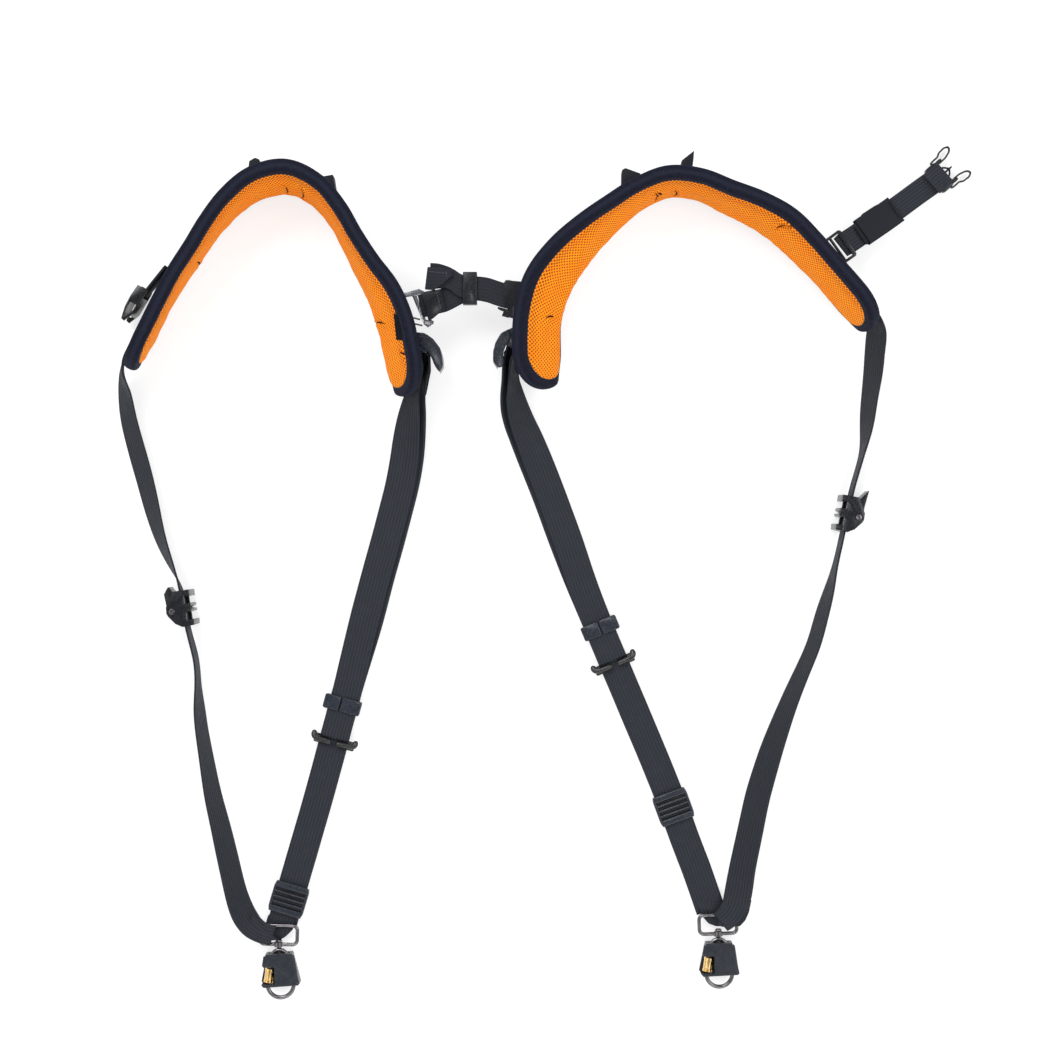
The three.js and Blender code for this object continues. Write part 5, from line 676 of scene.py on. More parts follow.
# short folds in the lining: along, across (from, to), depth
CREASES = {"left": [[214.5, 10.5, 215.5, -11.0, 1.6], [231.5, 17.5, 232.5, -11.5, 1.6], [105.0, 5.0, 103.5, -17.0, 1.0], [366.5, -15.5, 375.0, 6.0, 1.5], [400.0, 20.5, 404.0, 29.5, 1.2]], "right": [[203.0, 15.5, 204.5, -8.5, 1.4], [206.0, 14.0, 210.0, 3.0, 1.0], [224.0, 9.5, 224.0, -11.5, 1.5], [57.0, 8.5, 61.0, -4.0, 1.4], [320.5, 10.5, 331.0, 29.5, 1.7]]}


def make_pad(side, table):
    pad = Pad(table); body = side + "_harness"; seed = 11 if side == "left" else 23

    def lining(s, h):
        d = pad.edge(s, h); G_ = 1.45
        o = 3.9 + 3.2 * (1 - np.exp(-np.clip(d - 5.6, 0, None) / 1.5)) + 1.2 * sstep(d, 9, 30)
        # the face is shorter than the curve it follows, so it puckers a little near the tape
        k = sstep(d, 7.5, 10) * (1 - sstep(d, 14, 26))
        o = o + 0.28 * k * np.sin(s / 1.9 + 1.7 * np.sin(s / 9.0)) * (0.6 + 0.4 * np.sin(s / 31 + seed))
        o = o + 0.34 * waves(s, h, seed) * sstep(d, 8, 16)
        for s0, h0, s1, h1, dep in CREASES[side]:
            ab = np.array([s1 - s0, h1 - h0]); L = np.linalg.norm(ab); ab /= L
            x = (s - s0) * ab[0] + (h - h0) * ab[1]; y = -(s - s0) * ab[1] + (h - h0) * ab[0]
            # a bow shaped slit with a swollen lip on one side
            y = y - 0.12 * L * (1 - (2 * x / L - 1) ** 2)
            fade = sstep(x, -1.5, 2.0) * (1 - sstep(x, L - 2.0, L + 1.5))
            o = o - dep * fade * np.exp(-((y / 1.1) ** 2)) + G_ * 0.55 * dep * fade * np.exp(-(((y - 2.6) / 1.9) ** 2)) + G_ * 0.30 * dep * fade * np.exp(-(((y + 2.4) / 1.9) ** 2))
        return o

    ns = int(pad.L / (1.35)); nh = 58
    a = slab(side + "_lining", pad, lining, lambda s, h: np.full_like(s, 2.0), 0.7, ns, nh, M["mesh"], body, (side + "_pad_mesh_lining",))
    b = slab(side + "_foam", pad, lambda s, h: np.full_like(s, 1.6), lambda s, h: np.full_like(s, -2.4), 1.0, 160, 14, M["foam"], body, (side + "_pad_foam_core",))

    def shell(s, h):
        d = pad.edge(s, h)
        return -(3.9 + 1.7 * (1 - np.exp(-np.clip(d - 6.6, 0, None) / 2.6)) + 0.9 * sstep(d, 9, 30)) + 0.22 * waves(s, h, seed + 5) * sstep(d, 8, 16) + 1.5 * sstep(d, 8.2, 8.8) * np.exp(-(((np.abs(h) - 15.5) / 0.9) ** 2)) * 0.5
    c = slab(side + "_shell", pad, lambda s, h: np.full_like(s, -2.6), shell, 0.7, 240, 40, M["shell"], body, (side + "_pad_outer_shell",))

    # dark tubes laid in the folds: painted shadow inside the folds
    V, F, U, k = [], [], [], 0
    for s0, h0, s1, h1, dep in CREASES[side]:
        ab = np.array([s1 - s0, h1 - h0]); L = np.linalg.norm(ab); ab /= L; x = np.linspace(0.5, L - 0.5, 14)
        y = 0.12 * L * (1 - (2 * x / L - 1) ** 2); s_, h_ = s0 + ab[0] * x - ab[1] * y, h0 + ab[1] * x + ab[0] * y
        pts = pad.point(s_, h_, lining(s_, h_) + 0.35)
        v, f, u = sweep(pts, circ(1.05, 8, 0.8), scale=0.15 + 0.85 * np.sin(np.linspace(0, math.pi, 14)))
        V.append(v); F += [tuple(q + k for q in z) for z in f]; U.append(u); k += len(v)
    if V:
        obj_from(side + "_fold_shadows", np.vstack(V), F, M["crease"], body, np.vstack(U))
    pad.lining = lining

    # edge binding: knitted tape folded round the rim
    hs = []
    ang = np.radians(np.linspace(4, 90, 12))
    top = [(END * (1 - math.cos(q)), HALF * math.sin(q)) for q in ang]
    nm = int((pad.L - 2 * END) / 2.4)
    mid = [(END + (pad.L - 2 * END) * i / nm, HALF) for i in range(1, nm)]
    up = top + mid + [(pad.L - x, y) for x, y in top[::-1]]
    rim = np.array(up + [(x, -y) for x, y in up[::-1]])
    # even spacing along the closed outline
    q = np.vstack([rim, rim[:1]]); dd = np.r_[0, np.cumsum(np.linalg.norm(np.diff(q, axis=0), axis=1))]
    n = int(dd[-1] / 2.2); tt = np.arange(n) * dd[-1] / n
    rs, rh = np.interp(tt, dd, q[:, 0]), np.interp(tt, dd, q[:, 1])
    ds, dh = np.roll(rs, -1) - np.roll(rs, 1), np.roll(rh, -1) - np.roll(rh, 1)
    l = np.hypot(ds, dh); ds /= l; dh /= l
    C, T, W, Nn = pad.frame(np.clip(rs, 0.01, pad.L - 0.01))
    P0 = C + W * rh[:, None] + pad.curl(np.clip(rs, 0.01, pad.L - 0.01), rh); O = -T * dh[:, None] + W * ds[:, None]
    th = np.radians(np.linspace(-90, 90, 17))
    outer = [(-FL + 0.25, -5.15), (-FL, -5.45), (-6.4, -5.75), (-4.2, -5.85), (-2.2, -5.85)] + [(-0.9 + 3.0 * math.cos(x), 5.75 * math.sin(x)) for x in th] + [(-2.2, 5.85), (-4.2, 5.85), (-6.4, 5.75), (-FL, 5.45), (-FL + 0.25, 5.15)]
    inner = [(-FL + 0.6, 4.75), (-4.0, 4.72), (-1.2, 4.6)] + [(-1.2 + 2.1 * math.cos(x), 4.5 * math.sin(x)) for x in np.radians(np.linspace(75, -75, 7))] + [(-1.2, -4.6), (-4.0, -4.72), (-FL + 0.6, -4.75)]
    sec = np.array(outer + inner); m = len(sec); no = len(outer)
    around = np.r_[0, np.cumsum(np.linalg.norm(np.diff(sec, axis=0), axis=1))]
    g = np.random.default_rng(seed)
    V = np.zeros((n, m, 3)); UV = np.zeros((n, m, 2))
    s_ = tt
    w1 = np.sin(s_ / 2.3 + 1.3 * np.sin(s_ / 13)) * (0.55 + 0.45 * np.sin(s_ / 37)); w2 = np.sin(s_ / 9.1 + 0.9 * np.sin(s_ / 41 + 1)); w3 = np.sin(s_ / 29 + seed)
    for j in range(m):
        o_, n_ = sec[j]
        k = 1.0 if j < no else 0.25
        flat = sstep(-o_, 1.0, 5.0)
        amp = k * (0.13 * w1 * flat + 0.13 * w2 + 0.10 * w3)
        lip = k * sstep(-o_, 5.5, 8.0) * (0.30 * w2 + 0.18 * w1)
        V[:, j] = P0 + O * (o_ + lip + 0.12 * k * w3)[:, None] + Nn * (n_ + np.sign(n_ + 1e-9) * amp * flat)[:, None]
        UV[:, j, 0] = around[j]; UV[:, j, 1] = tt
    F = grid_faces(n, m, True, True)
    obj_from(side + "_binding", V.reshape(-1, 3), F, M["binding"], body, UV.reshape(-1, 2), True, (side + "_pad_edge_binding",), angle=70)

    # two rows of lock stitches through the tape's flanges
    V, F, U, k = [], [], [], 0
    step = 3.0; ns = int(dd[-1] / step)
    for face in (1, -1):
        for row in (-6.3,) if face > 0 else (-6.3,):
            for i in range(ns):
                x0 = (i + 0.14) * step; x1 = (i + 0.86) * step
                pts = []
                for x in (x0, (x0 + x1) / 2, x1):
                    j = x / dd[-1] * n; a0 = int(j) % n; b0 = (a0 + 1) % n; f_ = j - int(j)
                    Pm = P0[a0] * (1 - f_) + P0[b0] * f_; Om = O[a0] * (1 - f_) + O[b0] * f_; Nm = Nn[a0] * (1 - f_) + Nn[b0] * f_
                    mid_ = 1 if x == (x0 + x1) / 2 else 0
                    wv = 0.13 * w1[a0] + 0.13 * w2[a0] + 0.10 * w3[a0]
                    pts.append(Pm + Om * (row + 0.3 * w2[a0] * 0.2) + Nm * face * (5.70 + wv + 0.22 * mid_))
                v, f, u = sweep(pts, circ(0.27, 6), up=Nn[int(x0 / dd[-1] * n) % n])
                V.append(v); F += [tuple(y + k for y in z) for z in f]; U.append(u); k += len(v)
    obj_from(side + "_binding_stitches", np.vstack(V), F, M["thread"], body, np.vstack(U))
    return pad


PADS = {"left": make_pad("left", PAD_L), "right": make_pad("right", PAD_R)}

# ---- webbing ----------------------------------------------------------------
def lead_in(rows, back, fwd=0.0, dz=0.0):
    """adds a first row further back along the strap, inside the pad"""
    r = [list(map(float, q)) for q in rows]
    a, b = np.array(r[0][:3]), np.array(r[1][:3]); t = (a - b) / np.linalg.norm(a - b)
    return [list(a + t * back + np.array([0, 0, dz])) + r[0][3:]] + r


EDGE = 12.9
rear_l = [list(r) for r in LREAR]
rear_r = [list(r) for r in RREAR]
strap("left_rear_strap", lead_in(rear_l, 9), M["webbing"], "left_harness", replaces=("left_rear_webbing",), seed=3)
strap("right_rear_strap", lead_in(rear_r, 9), M["webbing"], "right_harness", replaces=("right_rear_webbing",), seed=4)
strap("left_front_strap", [[*r[:2], r[2] - (0.0 if i > 1 else (0.4, 0.9)[i]), *r[3:6], r[6] - (0, 0)[0]] for i, r in enumerate(map(list, LFRONT)) if i > 0], M["webbing"], "left_harness", replaces=("left_front_webbing",), seed=5, step=1.8)
strap("right_front_strap", RFRONT[1:], M["webbing"], "right_harness", replaces=("right_front_webbing",), seed=6, step=1.8)
strap("coupler_strap", COUPLER, M["coupler"], "right_harness", 1.5, step=1.4, replaces=("coupler_webbing",), seed=7, wob=0.18)
strap("side_strap_tape", SIDE, M["webbing"], "side_strap", 1.5, step=1.8, replaces=("side_strap_webbing",), seed=8)

# ---- hardware ---------------------------------------------------------------
HZ = 6.7


def arc(cx, cy, r, a0, a1, n, z=HZ):
    a = np.radians(np.linspace(a0, a1, n + 1))
    return [(cx + r * math.cos(t), cy + r * math.sin(t), z) for t in a]


def line(a, b, n):
    return [tuple(np.array(a) * (1 - t) + np.array(b) * t) for t in np.linspace(0, 1, n + 1)]


def tube(pts, ru, rv, n=26, m=18, up=None):
    """smooth bar with an oval section and domed ends"""
    q = np.array(pts, float); d = np.r_[0, np.cumsum(np.linalg.norm(np.diff(q, axis=0), axis=1))]; t = np.linspace(0, d[-1], n)
    P = np.stack([np.interp(t, d, q[:, k]) for k in range(3)], 1)
    for _ in range(4):
        P[1:-1] = 0.25 * P[:-2] + 0.5 * P[1:-1] + 0.25 * P[2:]
    e = np.minimum(t, t[-1] - t); sc = 0.35 + 0.65 * np.sqrt(1 - (1 - np.clip(e / (1.1 * max(ru, rv)), 0, 1)) ** 2)
    return sweep(P, circ(ru, m, rv), up=up, scale=sc)


def rrect(x0, x1, y0, y1, r):
    return smooth_outline([[x0, y0], [x1, y0], [x1, y1], [x0, y1]], r, 5)


def px(u, v, z):
    k = 0.865 * (1800 - z) / 1800
    return [(u - 531) * k, (531 - v) * k, z]


def patch(name, pts, along, mat, body, thick=1.4, r=0.8):
    """a flat piece of tape; pts are [x, y, z of its top face]"""
    P = np.array(pts, float); n = len(P); c = P.mean(0)
    a = math.radians(along); A = np.array([math.cos(a), math.sin(a)]); B = np.array([A[1], -A[0]])
    # a plane through the corners gives the height everywhere
    G = np.column_stack([P[:, 0] - c[0], P[:, 1] - c[1], np.ones(n)]); k = np.linalg.lstsq(G, P[:, 2], rcond=None)[0]
    v, f, u = prism(smooth_outline(P[:, :2], r, 4), 0, thick, 0.32, 3)
    v = np.array(v); z = k[0] * (v[:, 0] - c[0]) + k[1] * (v[:, 1] - c[1]) + k[2]
    v[:, 2] += z - thick
    uv = np.column_stack([v[:, :2] @ B, v[:, :2] @ A])
    return obj_from(name, v, f, mat, body, uv, True, angle=50)


def stitches(name, pts, body, mat, step=2.6, r=0.25, z=0.15):
    """a row of lock stitches along a line; pts are [x, y, z]"""
    q = np.array(pts, float); d = np.r_[0, np.cumsum(np.linalg.norm(np.diff(q, axis=0), axis=1))]; V, F, U, k = [], [], [], 0
    for i in range(max(1, int(d[-1] / step))):
        a, b = (i + 0.16) * step, (i + 0.84) * step
        g = [[np.interp(t, d, q[:, j]) for j in range(3)] for t in (a, (a + b) / 2, b)]
        g[1][2] += z
        v, f, u = sweep(g, circ(r, 6)); V.append(v); F += [tuple(y + k for y in w) for w in f]; U.append(u); k += len(v)
    return obj_from(name, np.vstack(V), F, mat, body, np.vstack(U))


def ring(side, x, y, deg):
    c, w, h = 4.0, 16.1, 16.2
    path = arc(w - c, h - c, c, 0, 90, 10) + arc(-w + c, h - c, c, 90, 180, 10) + arc(-w + c, c, c, 180, 270, 10) + arc(w - c, c, c, 270, 360, 10)
    q = np.array(path + path[:1]); d = np.r_[0, np.cumsum(np.linalg.norm(np.diff(q, axis=0), axis=1))]
    n = 150; t = np.arange(n) * d[-1] / n
    P = np.stack([np.interp(t, d, q[:, k]) for k in range(3)], 1)
    wire = sweep(P, circ(1.6, 20), closed=True)
    prof = [(2.35, -2.3), (3.3, -2.3), (3.7, -1.9), (3.75, 0), (3.7, 1.9), (3.3, 2.3), (2.35, 2.3)]
    boss = turned(prof, 28, (0, 0, HZ), (0, 1, 0), closed=True)
    v, f, u = placed(join(wire, boss), x, y, deg)
    obj_from(side + "_swivel_ring", v, f, M["steel"], side + "_harness", u, True, (side + "_ring",), angle=40)


def turned(prof, n, origin, axis, closed=False):
    """solid of revolution: profile of (radius, along)"""
    ax = np.array(axis, float); ax /= np.linalg.norm(ax)
    up = np.array([0, 0, 1.0]) if abs(ax[2]) < 0.9 else np.array([1.0, 0, 0])
    s = np.cross(ax, up); s /= np.linalg.norm(s); u = np.cross(s, ax)
    a = np.arange(n) * 2 * math.pi / n; V = []; U = []
    for r, x in prof:
        V.append(np.array(origin, float) + ax * x + r * (np.cos(a)[:, None] * s + np.sin(a)[:, None] * u)); U.append(np.stack([a * r, np.full(n, x)], 1))
    V = np.vstack(V); U = np.vstack(U); F = grid_faces(len(prof), n, True, closed)
    if not closed:
        k = len(V); V = np.vstack([V, V[:n].mean(0), V[-n:].mean(0)]); U = np.vstack([U, [[0, 0]], [[0, 0]]]); m = (len(prof) - 1) * n
        F += [(k, (j + 1) % n, j) for j in range(n)] + [(k + 1, m + j, m + (j + 1) % n) for j in range(n)]
    return V, F, U


def knurled(prof, n, origin, axis, z0, z1, amp):
    V, F, U = turned(prof, n, origin, axis, True)
    ax = np.array(axis, float); ax /= np.linalg.norm(ax); o = np.array(origin, float)
    x = (V - o) @ ax; rad = V - o - x[:, None] * ax; r = np.linalg.norm(rad, axis=1)
    k = (x > z0) & (x < z1) & (r > 3.2)
    a = np.arange(len(V)) % n
    V = V + (rad / r[:, None]) * (k * amp * np.where(a % 3 == 0, -1.0, 0.45))[:, None]
    return V, F, U


def carabiner(side, x, y, deg):
    body = side + "_carabiner"
    path = line((-11.25, -33.9, HZ), (-11.25, -34.2, HZ), 1) + arc(0, -34.3, 11.25, 180, 360, 40)
    path += arc(0, -11.4, 6.9, 0, 172, 30)
    q = np.array(path); d = np.r_[0, np.cumsum(np.linalg.norm(np.diff(q, axis=0), axis=1))]
    n = 170; t = np.linspace(0, d[-1], n)
    P = np.stack([np.interp(t, d, q[:, k]) for k in range(3)], 1)
    for _ in range(3):
        P[1:-1] = 0.25 * P[:-2] + 0.5 * P[1:-1] + 0.25 * P[2:]
    wire = sweep(P, circ(1.78, 20))
    stud = turned([(1.2, -4.6), (1.5, -4.3), (1.5, 3.0), (2.6, 3.0), (2.95, 3.2), (2.9, 3.7), (2.3, 4.35), (1.3, 4.6), (0.4, 4.66)], 28, (0, 0, HZ), (0, 1, 0))
    v, f, u = placed(join(wire, stud), x, y, deg)
    obj_from(side + "_hook_wire", v, f, M["steel"], body, u, True, (side + "_carabiner_hook",), angle=45)
    A, B = np.array([-7.2, -13.4, HZ]), np.array([-10.6, -33.3, HZ]); dr = (B - A) / np.linalg.norm(B - A)
    gate = join(rod(A, B, 1.6, 20), turned([(0.9, -1.75), (1.9, -1.7), (2.1, -1.5), (2.1, 1.5), (1.9, 1.7), (0.9, 1.75)], 24, A, (0, 0, 1)))
    v, f, u = placed(gate, x, y, deg)
    obj_from(side + "_gate_bar", v, f, M["steel"], side + "_carabiner_gate", u, True, (side + "_carabiner_gate",), angle=45)
    pr = [(2.1, 0), (3.7, 0), (4.3, 0.5), (4.3, 2.7), (4.0, 3.1), (4.0, 3.5), (4.05, 3.7), (4.05, 9.1), (4.0, 9.3), (4.0, 9.7), (4.3, 10.1), (4.3, 12.3), (3.7, 12.8), (2.1, 12.8)]
    v, f, u = placed(knurled(pr, 72, A + dr * 6.4, dr, 3.6, 9.2, 0.11), x, y, deg)
    obj_from(side + "_brass_sleeve", v, f, M["brass"], side + "_screw_sleeve", u, True, (side + "_screw_sleeve",), angle=30)
    cover(side + "_cover_front", x, y, deg, 13.1)
    cover(side + "_cover_back", x, y, deg, 0.3)
    # rounded hinge ridge along the right edge
    h0, h1 = np.array([12.0, -8.4, 11.6]), np.array([15.3, -34.2, 11.6])
    v, f, u = placed(join(tube([h0, (h0 + h1) / 2, h1], 1.45, 1.75, 24), tube([(-12.3, -8.4, 11.9), (-13.2, -13, 11.9), (-14.1, -17.4, 11.9)], 0.9, 1.3, 16)), x, y, deg)
    obj_from(side + "_cover_ridge", v, f, M["lever"], side + "_cover_lid", u, True, angle=50)


def cover(node, x, y, deg, ztop):
    """cover half with a large rounding along its outer rim"""
    src = frame["nodes"][node]
    bm = bmesh.new(); bm.from_mesh(src.data)
    bmesh.ops.remove_doubles(bm, verts=bm.verts, dist=2e-6)
    bmesh.ops.dissolve_limit(bm, angle_limit=math.radians(2), verts=bm.verts, edges=bm.edges)
    lay = bm.edges.layers.float.new("bevel_weight_edge"); a = math.radians(-deg)
    bm.normal_update()
    for e in bm.edges:
        if len(e.link_faces) != 2 or e.calc_face_angle(0) < math.radians(34):
            continue
        w = 0.22
        q = [np.array(v.co) * 1000 - SHIFT for v in e.verts]
        if all(abs(p[2] - ztop) < 0.1 for p in q):
            m = (q[0] + q[1]) / 2 - np.array([x, y, 0]); lx, ly = m[0] * math.cos(a) - m[1] * math.sin(a), m[0] * math.sin(a) + m[1] * math.cos(a)
            side_n = [f.normal for f in e.link_faces if abs(f.normal.z) < 0.5]
            if side_n and not (lx < -3.5 and -35 < ly < -17.8 and lx > -6):
                w = 1.0
        e[lay] = w
    me = bpy.data.meshes.new(node + "_fine"); bm.to_mesh(me); bm.free()
    o = bpy.data.objects.new(node + "_fine", me); SC.collection.objects.link(o)
    b = o.modifiers.new("edges", "BEVEL"); b.width = 1.35 / 1000; b.segments = 4; b.limit_method = "WEIGHT"; b.use_clamp_overlap = True
    dg = bpy.context.evaluated_depsgraph_get(); me2 = bpy.data.meshes.new_from_object(o.evaluated_get(dg))
    o.modifiers.clear(); o.data = me2; bpy.data.meshes.remove(me); me2.name = o.name
    me2.materials.clear(); me2.materials.append(M["cover"])
    me2.polygons.foreach_set("use_smooth", [True] * len(me2.polygons)); me2.set_sharp_from_angle(angle=math.radians(38))
    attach(o, src["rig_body"]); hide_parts(node)
    return o


for side, rx, ry, rd, cx, cy, cd in (("left", -217.69, -356.09, -1.6, -217.17, -356.43, 2.4), ("right", 161.33, -346.95, 2.2, 161.50, -347.13, 1.2)):
    ring(side, rx, ry, rd)
    carabiner(side, cx, cy, cd)

for s in ("left", "right"):
    refined(s + "_cam_lock_body", M["plastic"], 0.55, 3, 34)
    refined(s + "_cam_lever", M["plastic"], 0.6, 3, 34)
    refined(s + "_cam_pin", M["steel"], 0.2, 2, 34)
    refined(s + "_lever_lock", M["lever"], 0.5, 3, 34)
    lev = {"left": [(416.9, 335.3), (427.4, 336.6), (435.7, 343.6), (442, 354.4), (443.2, 366), (439.4, 372.4), (434.8, 366), (431.2, 357), (425.6, 349.6), (419, 345.6)],
           "right": [(509.6, 328.4), (500.8, 333), (494.9, 343.2), (493.5, 351.7), (495.2, 363.2), (497.5, 367.7), (502, 367.2), (504.2, 362.7), (503.2, 353), (506.0, 345.0), (511.5, 337.5)]}[s]
    q = [px(u, v, 48)[:2] for u, v in lev]
    v_, f_, u_ = prism(smooth_outline(q, 2.2, 5), 46.6, 48.6, 0.9, 4)
    obj_from(s + "_lever_face", v_, f_, M["lever"], s + "_lever_lock", u_, True, angle=60)
    edge_ = [px(u, v, 48.4) for u, v in (lev[0:5] if s == "left" else lev[0:5])]
    edge_ = [[a[0] * 0.94 + b[0] * 0.06, a[1] * 0.94 + b[1] * 0.06, 48.3] for a, b in zip(edge_, [px(425, 352, 48)] * 5 if s == "left" else [px(511, 348, 48)] * 5)]
    v_, f_, u_ = tube(edge_, 0.7, 0.7, 30, 12)
    obj_from(s + "_lever_rim", v_, f_, M["lever"], s + "_lever_lock", u_, True, angle=60)
    refined(s + "_lock_anchor_loop", M["tab"], 0.3, 2, 34)


def slider(side, x, y, deg):
    parts = [prism(rrect(-18, 18, -4, 4, 1.5), 0.2, 1.6, 0.5)]
    for s in (1, -1):
        parts.append(prism(rrect(min(s * 15.2, s * 17.6), max(s * 15.2, s * 17.6), -2.2, 3.4, 1.1), 0.6, 7.0, 0.8))
        parts.append(tube([(s * 2.0, -0.5, 8.4), (s * 8, -0.2, 8.6), (s * 14.6, 0.2, 8.5), (s * 17.6, 1.2, 8.0), (s * 18.7, 3.6, 7.2), (s * 17.4, 6.0, 6.4)], 2.5, 2.3, 34, 20, up=(0, 0, 1)))
    v, f, u = placed(join(*parts), x, y, deg)
    obj_from(side + "_slider_bar", v, f, M["bronze"], side + "_slider", u, True, (side + "_slider",), angle=50)


def keeper(side, x, y, deg, split):
    parts = [prism(rrect(-15.6, 15.6, -5.8, 5.8, 1.5), 0.2, 1.6, 0.5)]
    for a, b in ((-16.2, split - 0.6), (split + 0.6, 16.2)):
        parts.append(prism(rrect(a, b, -6.3, 6.3, 2.0), 7.1, 9.0, 0.85, 4))
    for s in (1, -1):
        parts.append(prism(rrect(min(s * 14, s * 16.2), max(s * 14, s * 16.2), -5.6, 5.6, 0.9), 0.8, 8.0, 0.6))
    v, f, u = placed(join(*parts), x, y, deg)
    obj_from(side + "_keeper_plates", v, f, M["lever"], side + "_strap_keeper", u, True, (side + "_strap_keeper",), angle=50)


def ladder(side, x, y, deg):
    bed = [prism(rrect(-13.2, 13.2, -12.4, 12.4, 1.5), 1.2, 2.2, 0.3), prism(rrect(-13.6, 13.6, -8.4, 8.4, 0.8), 5.9, 6.3, 0.15)]
    parts = []
    for s in (1, -1):
        parts.append(prism(smooth_outline([[s * 13.0, -12.2], [s * 14.4, -12.6], [s * 15.3, -9.5], [s * 15.3, 9.5], [s * 14.4, 12.6], [s * 13.0, 12.2]], 1.2, 4), 1.4, 7.7, 0.7))
        parts.append(prism(smooth_outline([[-14.6, s * 7.9], [14.6, s * 7.9], [15.1, s * 9.2], [14.2, s * 13.5], [-14.2, s * 13.5], [-15.1, s * 9.2]], 1.0, 4), 6.0, 8.5, 1.1, 4))
    for c in (4.5, 0.0, -4.5):
        parts.append(tube([(-13.8, c, 6.9), (0, c, 7.2), (13.8, c, 6.9)], 1.0, 1.15, 24, 14))
    v, f, u = placed(join(*bed), x, y, deg)
    obj_from(side + "_ladder_bed", v, f, M["plastic"], side + "_ladder_adjuster", u, True, angle=50)
    v, f, u = placed(join(*parts), x, y, deg)
    obj_from(side + "_ladder_frame", v, f, M["lever"], side + "_ladder_adjuster", u, True, (side + "_ladder_adjuster",), angle=50)


keeper("left", -162.57, -149.62, -15.4, -1.6)
slider("left", -169.99, -182.24, -15.4)
ladder("left", -208.82, -317.37, -16.6)
keeper("right", 59.54, -83.53, 22.6, 0)
slider("right", 72.14, -114.94, 22.8)
ladder("right", 122.70, -237.81, 20.2)

# sprung prongs: thin looped bars with an arrowhead outline
bx, by, ba = 353.66, 306.22, math.radians(41.5)
loop = []
for u, v in ((540, 118), (556, 101), (575, 85), (580, 66), (605, 40), (626, 34), (633, 46), (630, 62), (612, 90), (588, 112), (560, 128)):
    q = px(820 + u / 4.9, 140 + v / 4.9, 5); dx, dy = q[0] - bx, q[1] - by
    loop.append((dx * math.cos(ba) + dy * math.sin(ba), -dx * math.sin(ba) + dy * math.cos(ba), 5.1))
for nm, s in (("a", 1), ("b", -1)):
    q = np.array(loop); q[:, 1] = np.abs(q[:, 1]) * s
    q = np.vstack([q, q[:1]]); d = np.r_[0, np.cumsum(np.linalg.norm(np.diff(q, axis=0), axis=1))]
    t = np.arange(72) * d[-1] / 72; P_ = np.stack([np.interp(t, d, q[:, k]) for k in range(3)], 1)
    for _ in range(2):
        P_ = 0.25 * np.roll(P_, 1, 0) + 0.5 * P_ + 0.25 * np.roll(P_, -1, 0)
    v, f, u = placed(join(sweep(P_, circ(0.85, 14, 2.6), closed=True), tube([(1.0, s * 10.4, 5.1), (6, s * 10.6, 5.1), (9.6, s * 10.9, 5.1)], 1.5, 2.6, 12, 14)), bx, by, 41.5)
    obj_from("prong_" + nm, v, f, M["plastic"], "male_buckle_prong_" + nm, u, True, ("male_buckle_prong_" + nm,), angle=60)

for n, m, b in (("coupler_hook", "gun", 0.35), ("coupler_wire_gate", "steel", 0), ("coupler_ladder_lock", "plastic", 0.45), 
                ("side_ladder_lock", "plastic", 0.45), ("female_buckle", "plastic", 0.55)):
    refined(n, M[m], b, 3, 34)
for n in ("left_coupler_bridge", "right_coupler_anchor_loop", "side_anchor_loop", "side_strap_sleeve", "left_buckle_loop", "left_top_tab", "left_rear_tab", "right_top_loop_tab", "right_pointed_tab"):
    refined(n, M["tab"], 0.3, 2, 34)

# ---- tape folds and tails ---------------------------------------------------
patch("right_ring_fold", [px(u, v, z) for u, v, z in ((729.4, 902.6, 12.4), (717.5, 924.5, 10.6), (722, 927.0, 10.4), (740, 926.3, 10.6), (745.4, 920.5, 11.2), (749, 912.5, 12.0), (751.6, 900, 12.8))], 112, M["webbing"], "right_harness", 1.2)
patch("right_ring_belly", [px(u, v, z) for u, v, z in ((697.5, 902, 4.3), (702.1, 916.2, 4.2), (708.4, 923.6, 4.2), (716, 926.3, 4.2), (724, 926.3, 4.2), (730, 914, 4.2), (730, 902, 4.3))], 112, M["webbing"], "right_harness", 1.0, r=1.5)
patch("left_ring_belly", [px(u, v, z) for u, v, z in ((268.5, 914, 4.3), (264.5, 926.8, 4.2), (268.9, 934.2, 4.2), (278.4, 941.0, 4.2), (285.8, 936.6, 4.2), (293, 929.5, 4.2), (297, 916, 4.3))], 74, M["webbing"], "left_harness", 1.0, r=2.0)
patch("left_ring_over", [px(u, v, z) for u, v, z in ((252, 915, 13.8), (257.6, 921, 13.2), (268, 932, 12.0), (278.5, 940.0, 10.9), (268, 941.0, 11.4), (256, 938.6, 12.6), (247, 931.5, 13.4))], -40, M["webbing"], "left_harness", 1.0, r=1.5)
patch("left_lock_fold", [px(u, v, z) for u, v, z in ((417.5, 352, 22), (430.5, 356, 22), (431.0, 371, 18), (426.0, 396, 13), (412.4, 396, 13), (416.5, 376, 18))], 95, M["tab"], "left_harness", 1.4, r=1.5)
patch("right_lock_fold", [px(u, v, z) for u, v, z in ((503.5, 352, 22), (510, 344, 22), (517.5, 350, 22), (518.5, 372, 18), (522.6, 398, 13), (503, 398, 13), (506, 376, 18))], 85, M["tab"], "right_harness", 1.4, r=1.5)
patch("coupler_tail", [px(u, v, 42.2) for u, v in ((427.5, 266.8), (450, 269), (452.4, 275), (446, 281), (434, 290.2), (424.8, 289.4))], 2, M["coupler"], "right_harness", 1.3)
stitches("coupler_tail_stitch_a", [px(429, 271.5, 42.3), px(448, 273.5, 42.3)], "right_harness", M["thread_light"])
stitches("coupler_tail_stitch_b", [px(447, 272, 42.3), px(446, 279, 42.3)], "right_harness", M["thread"])
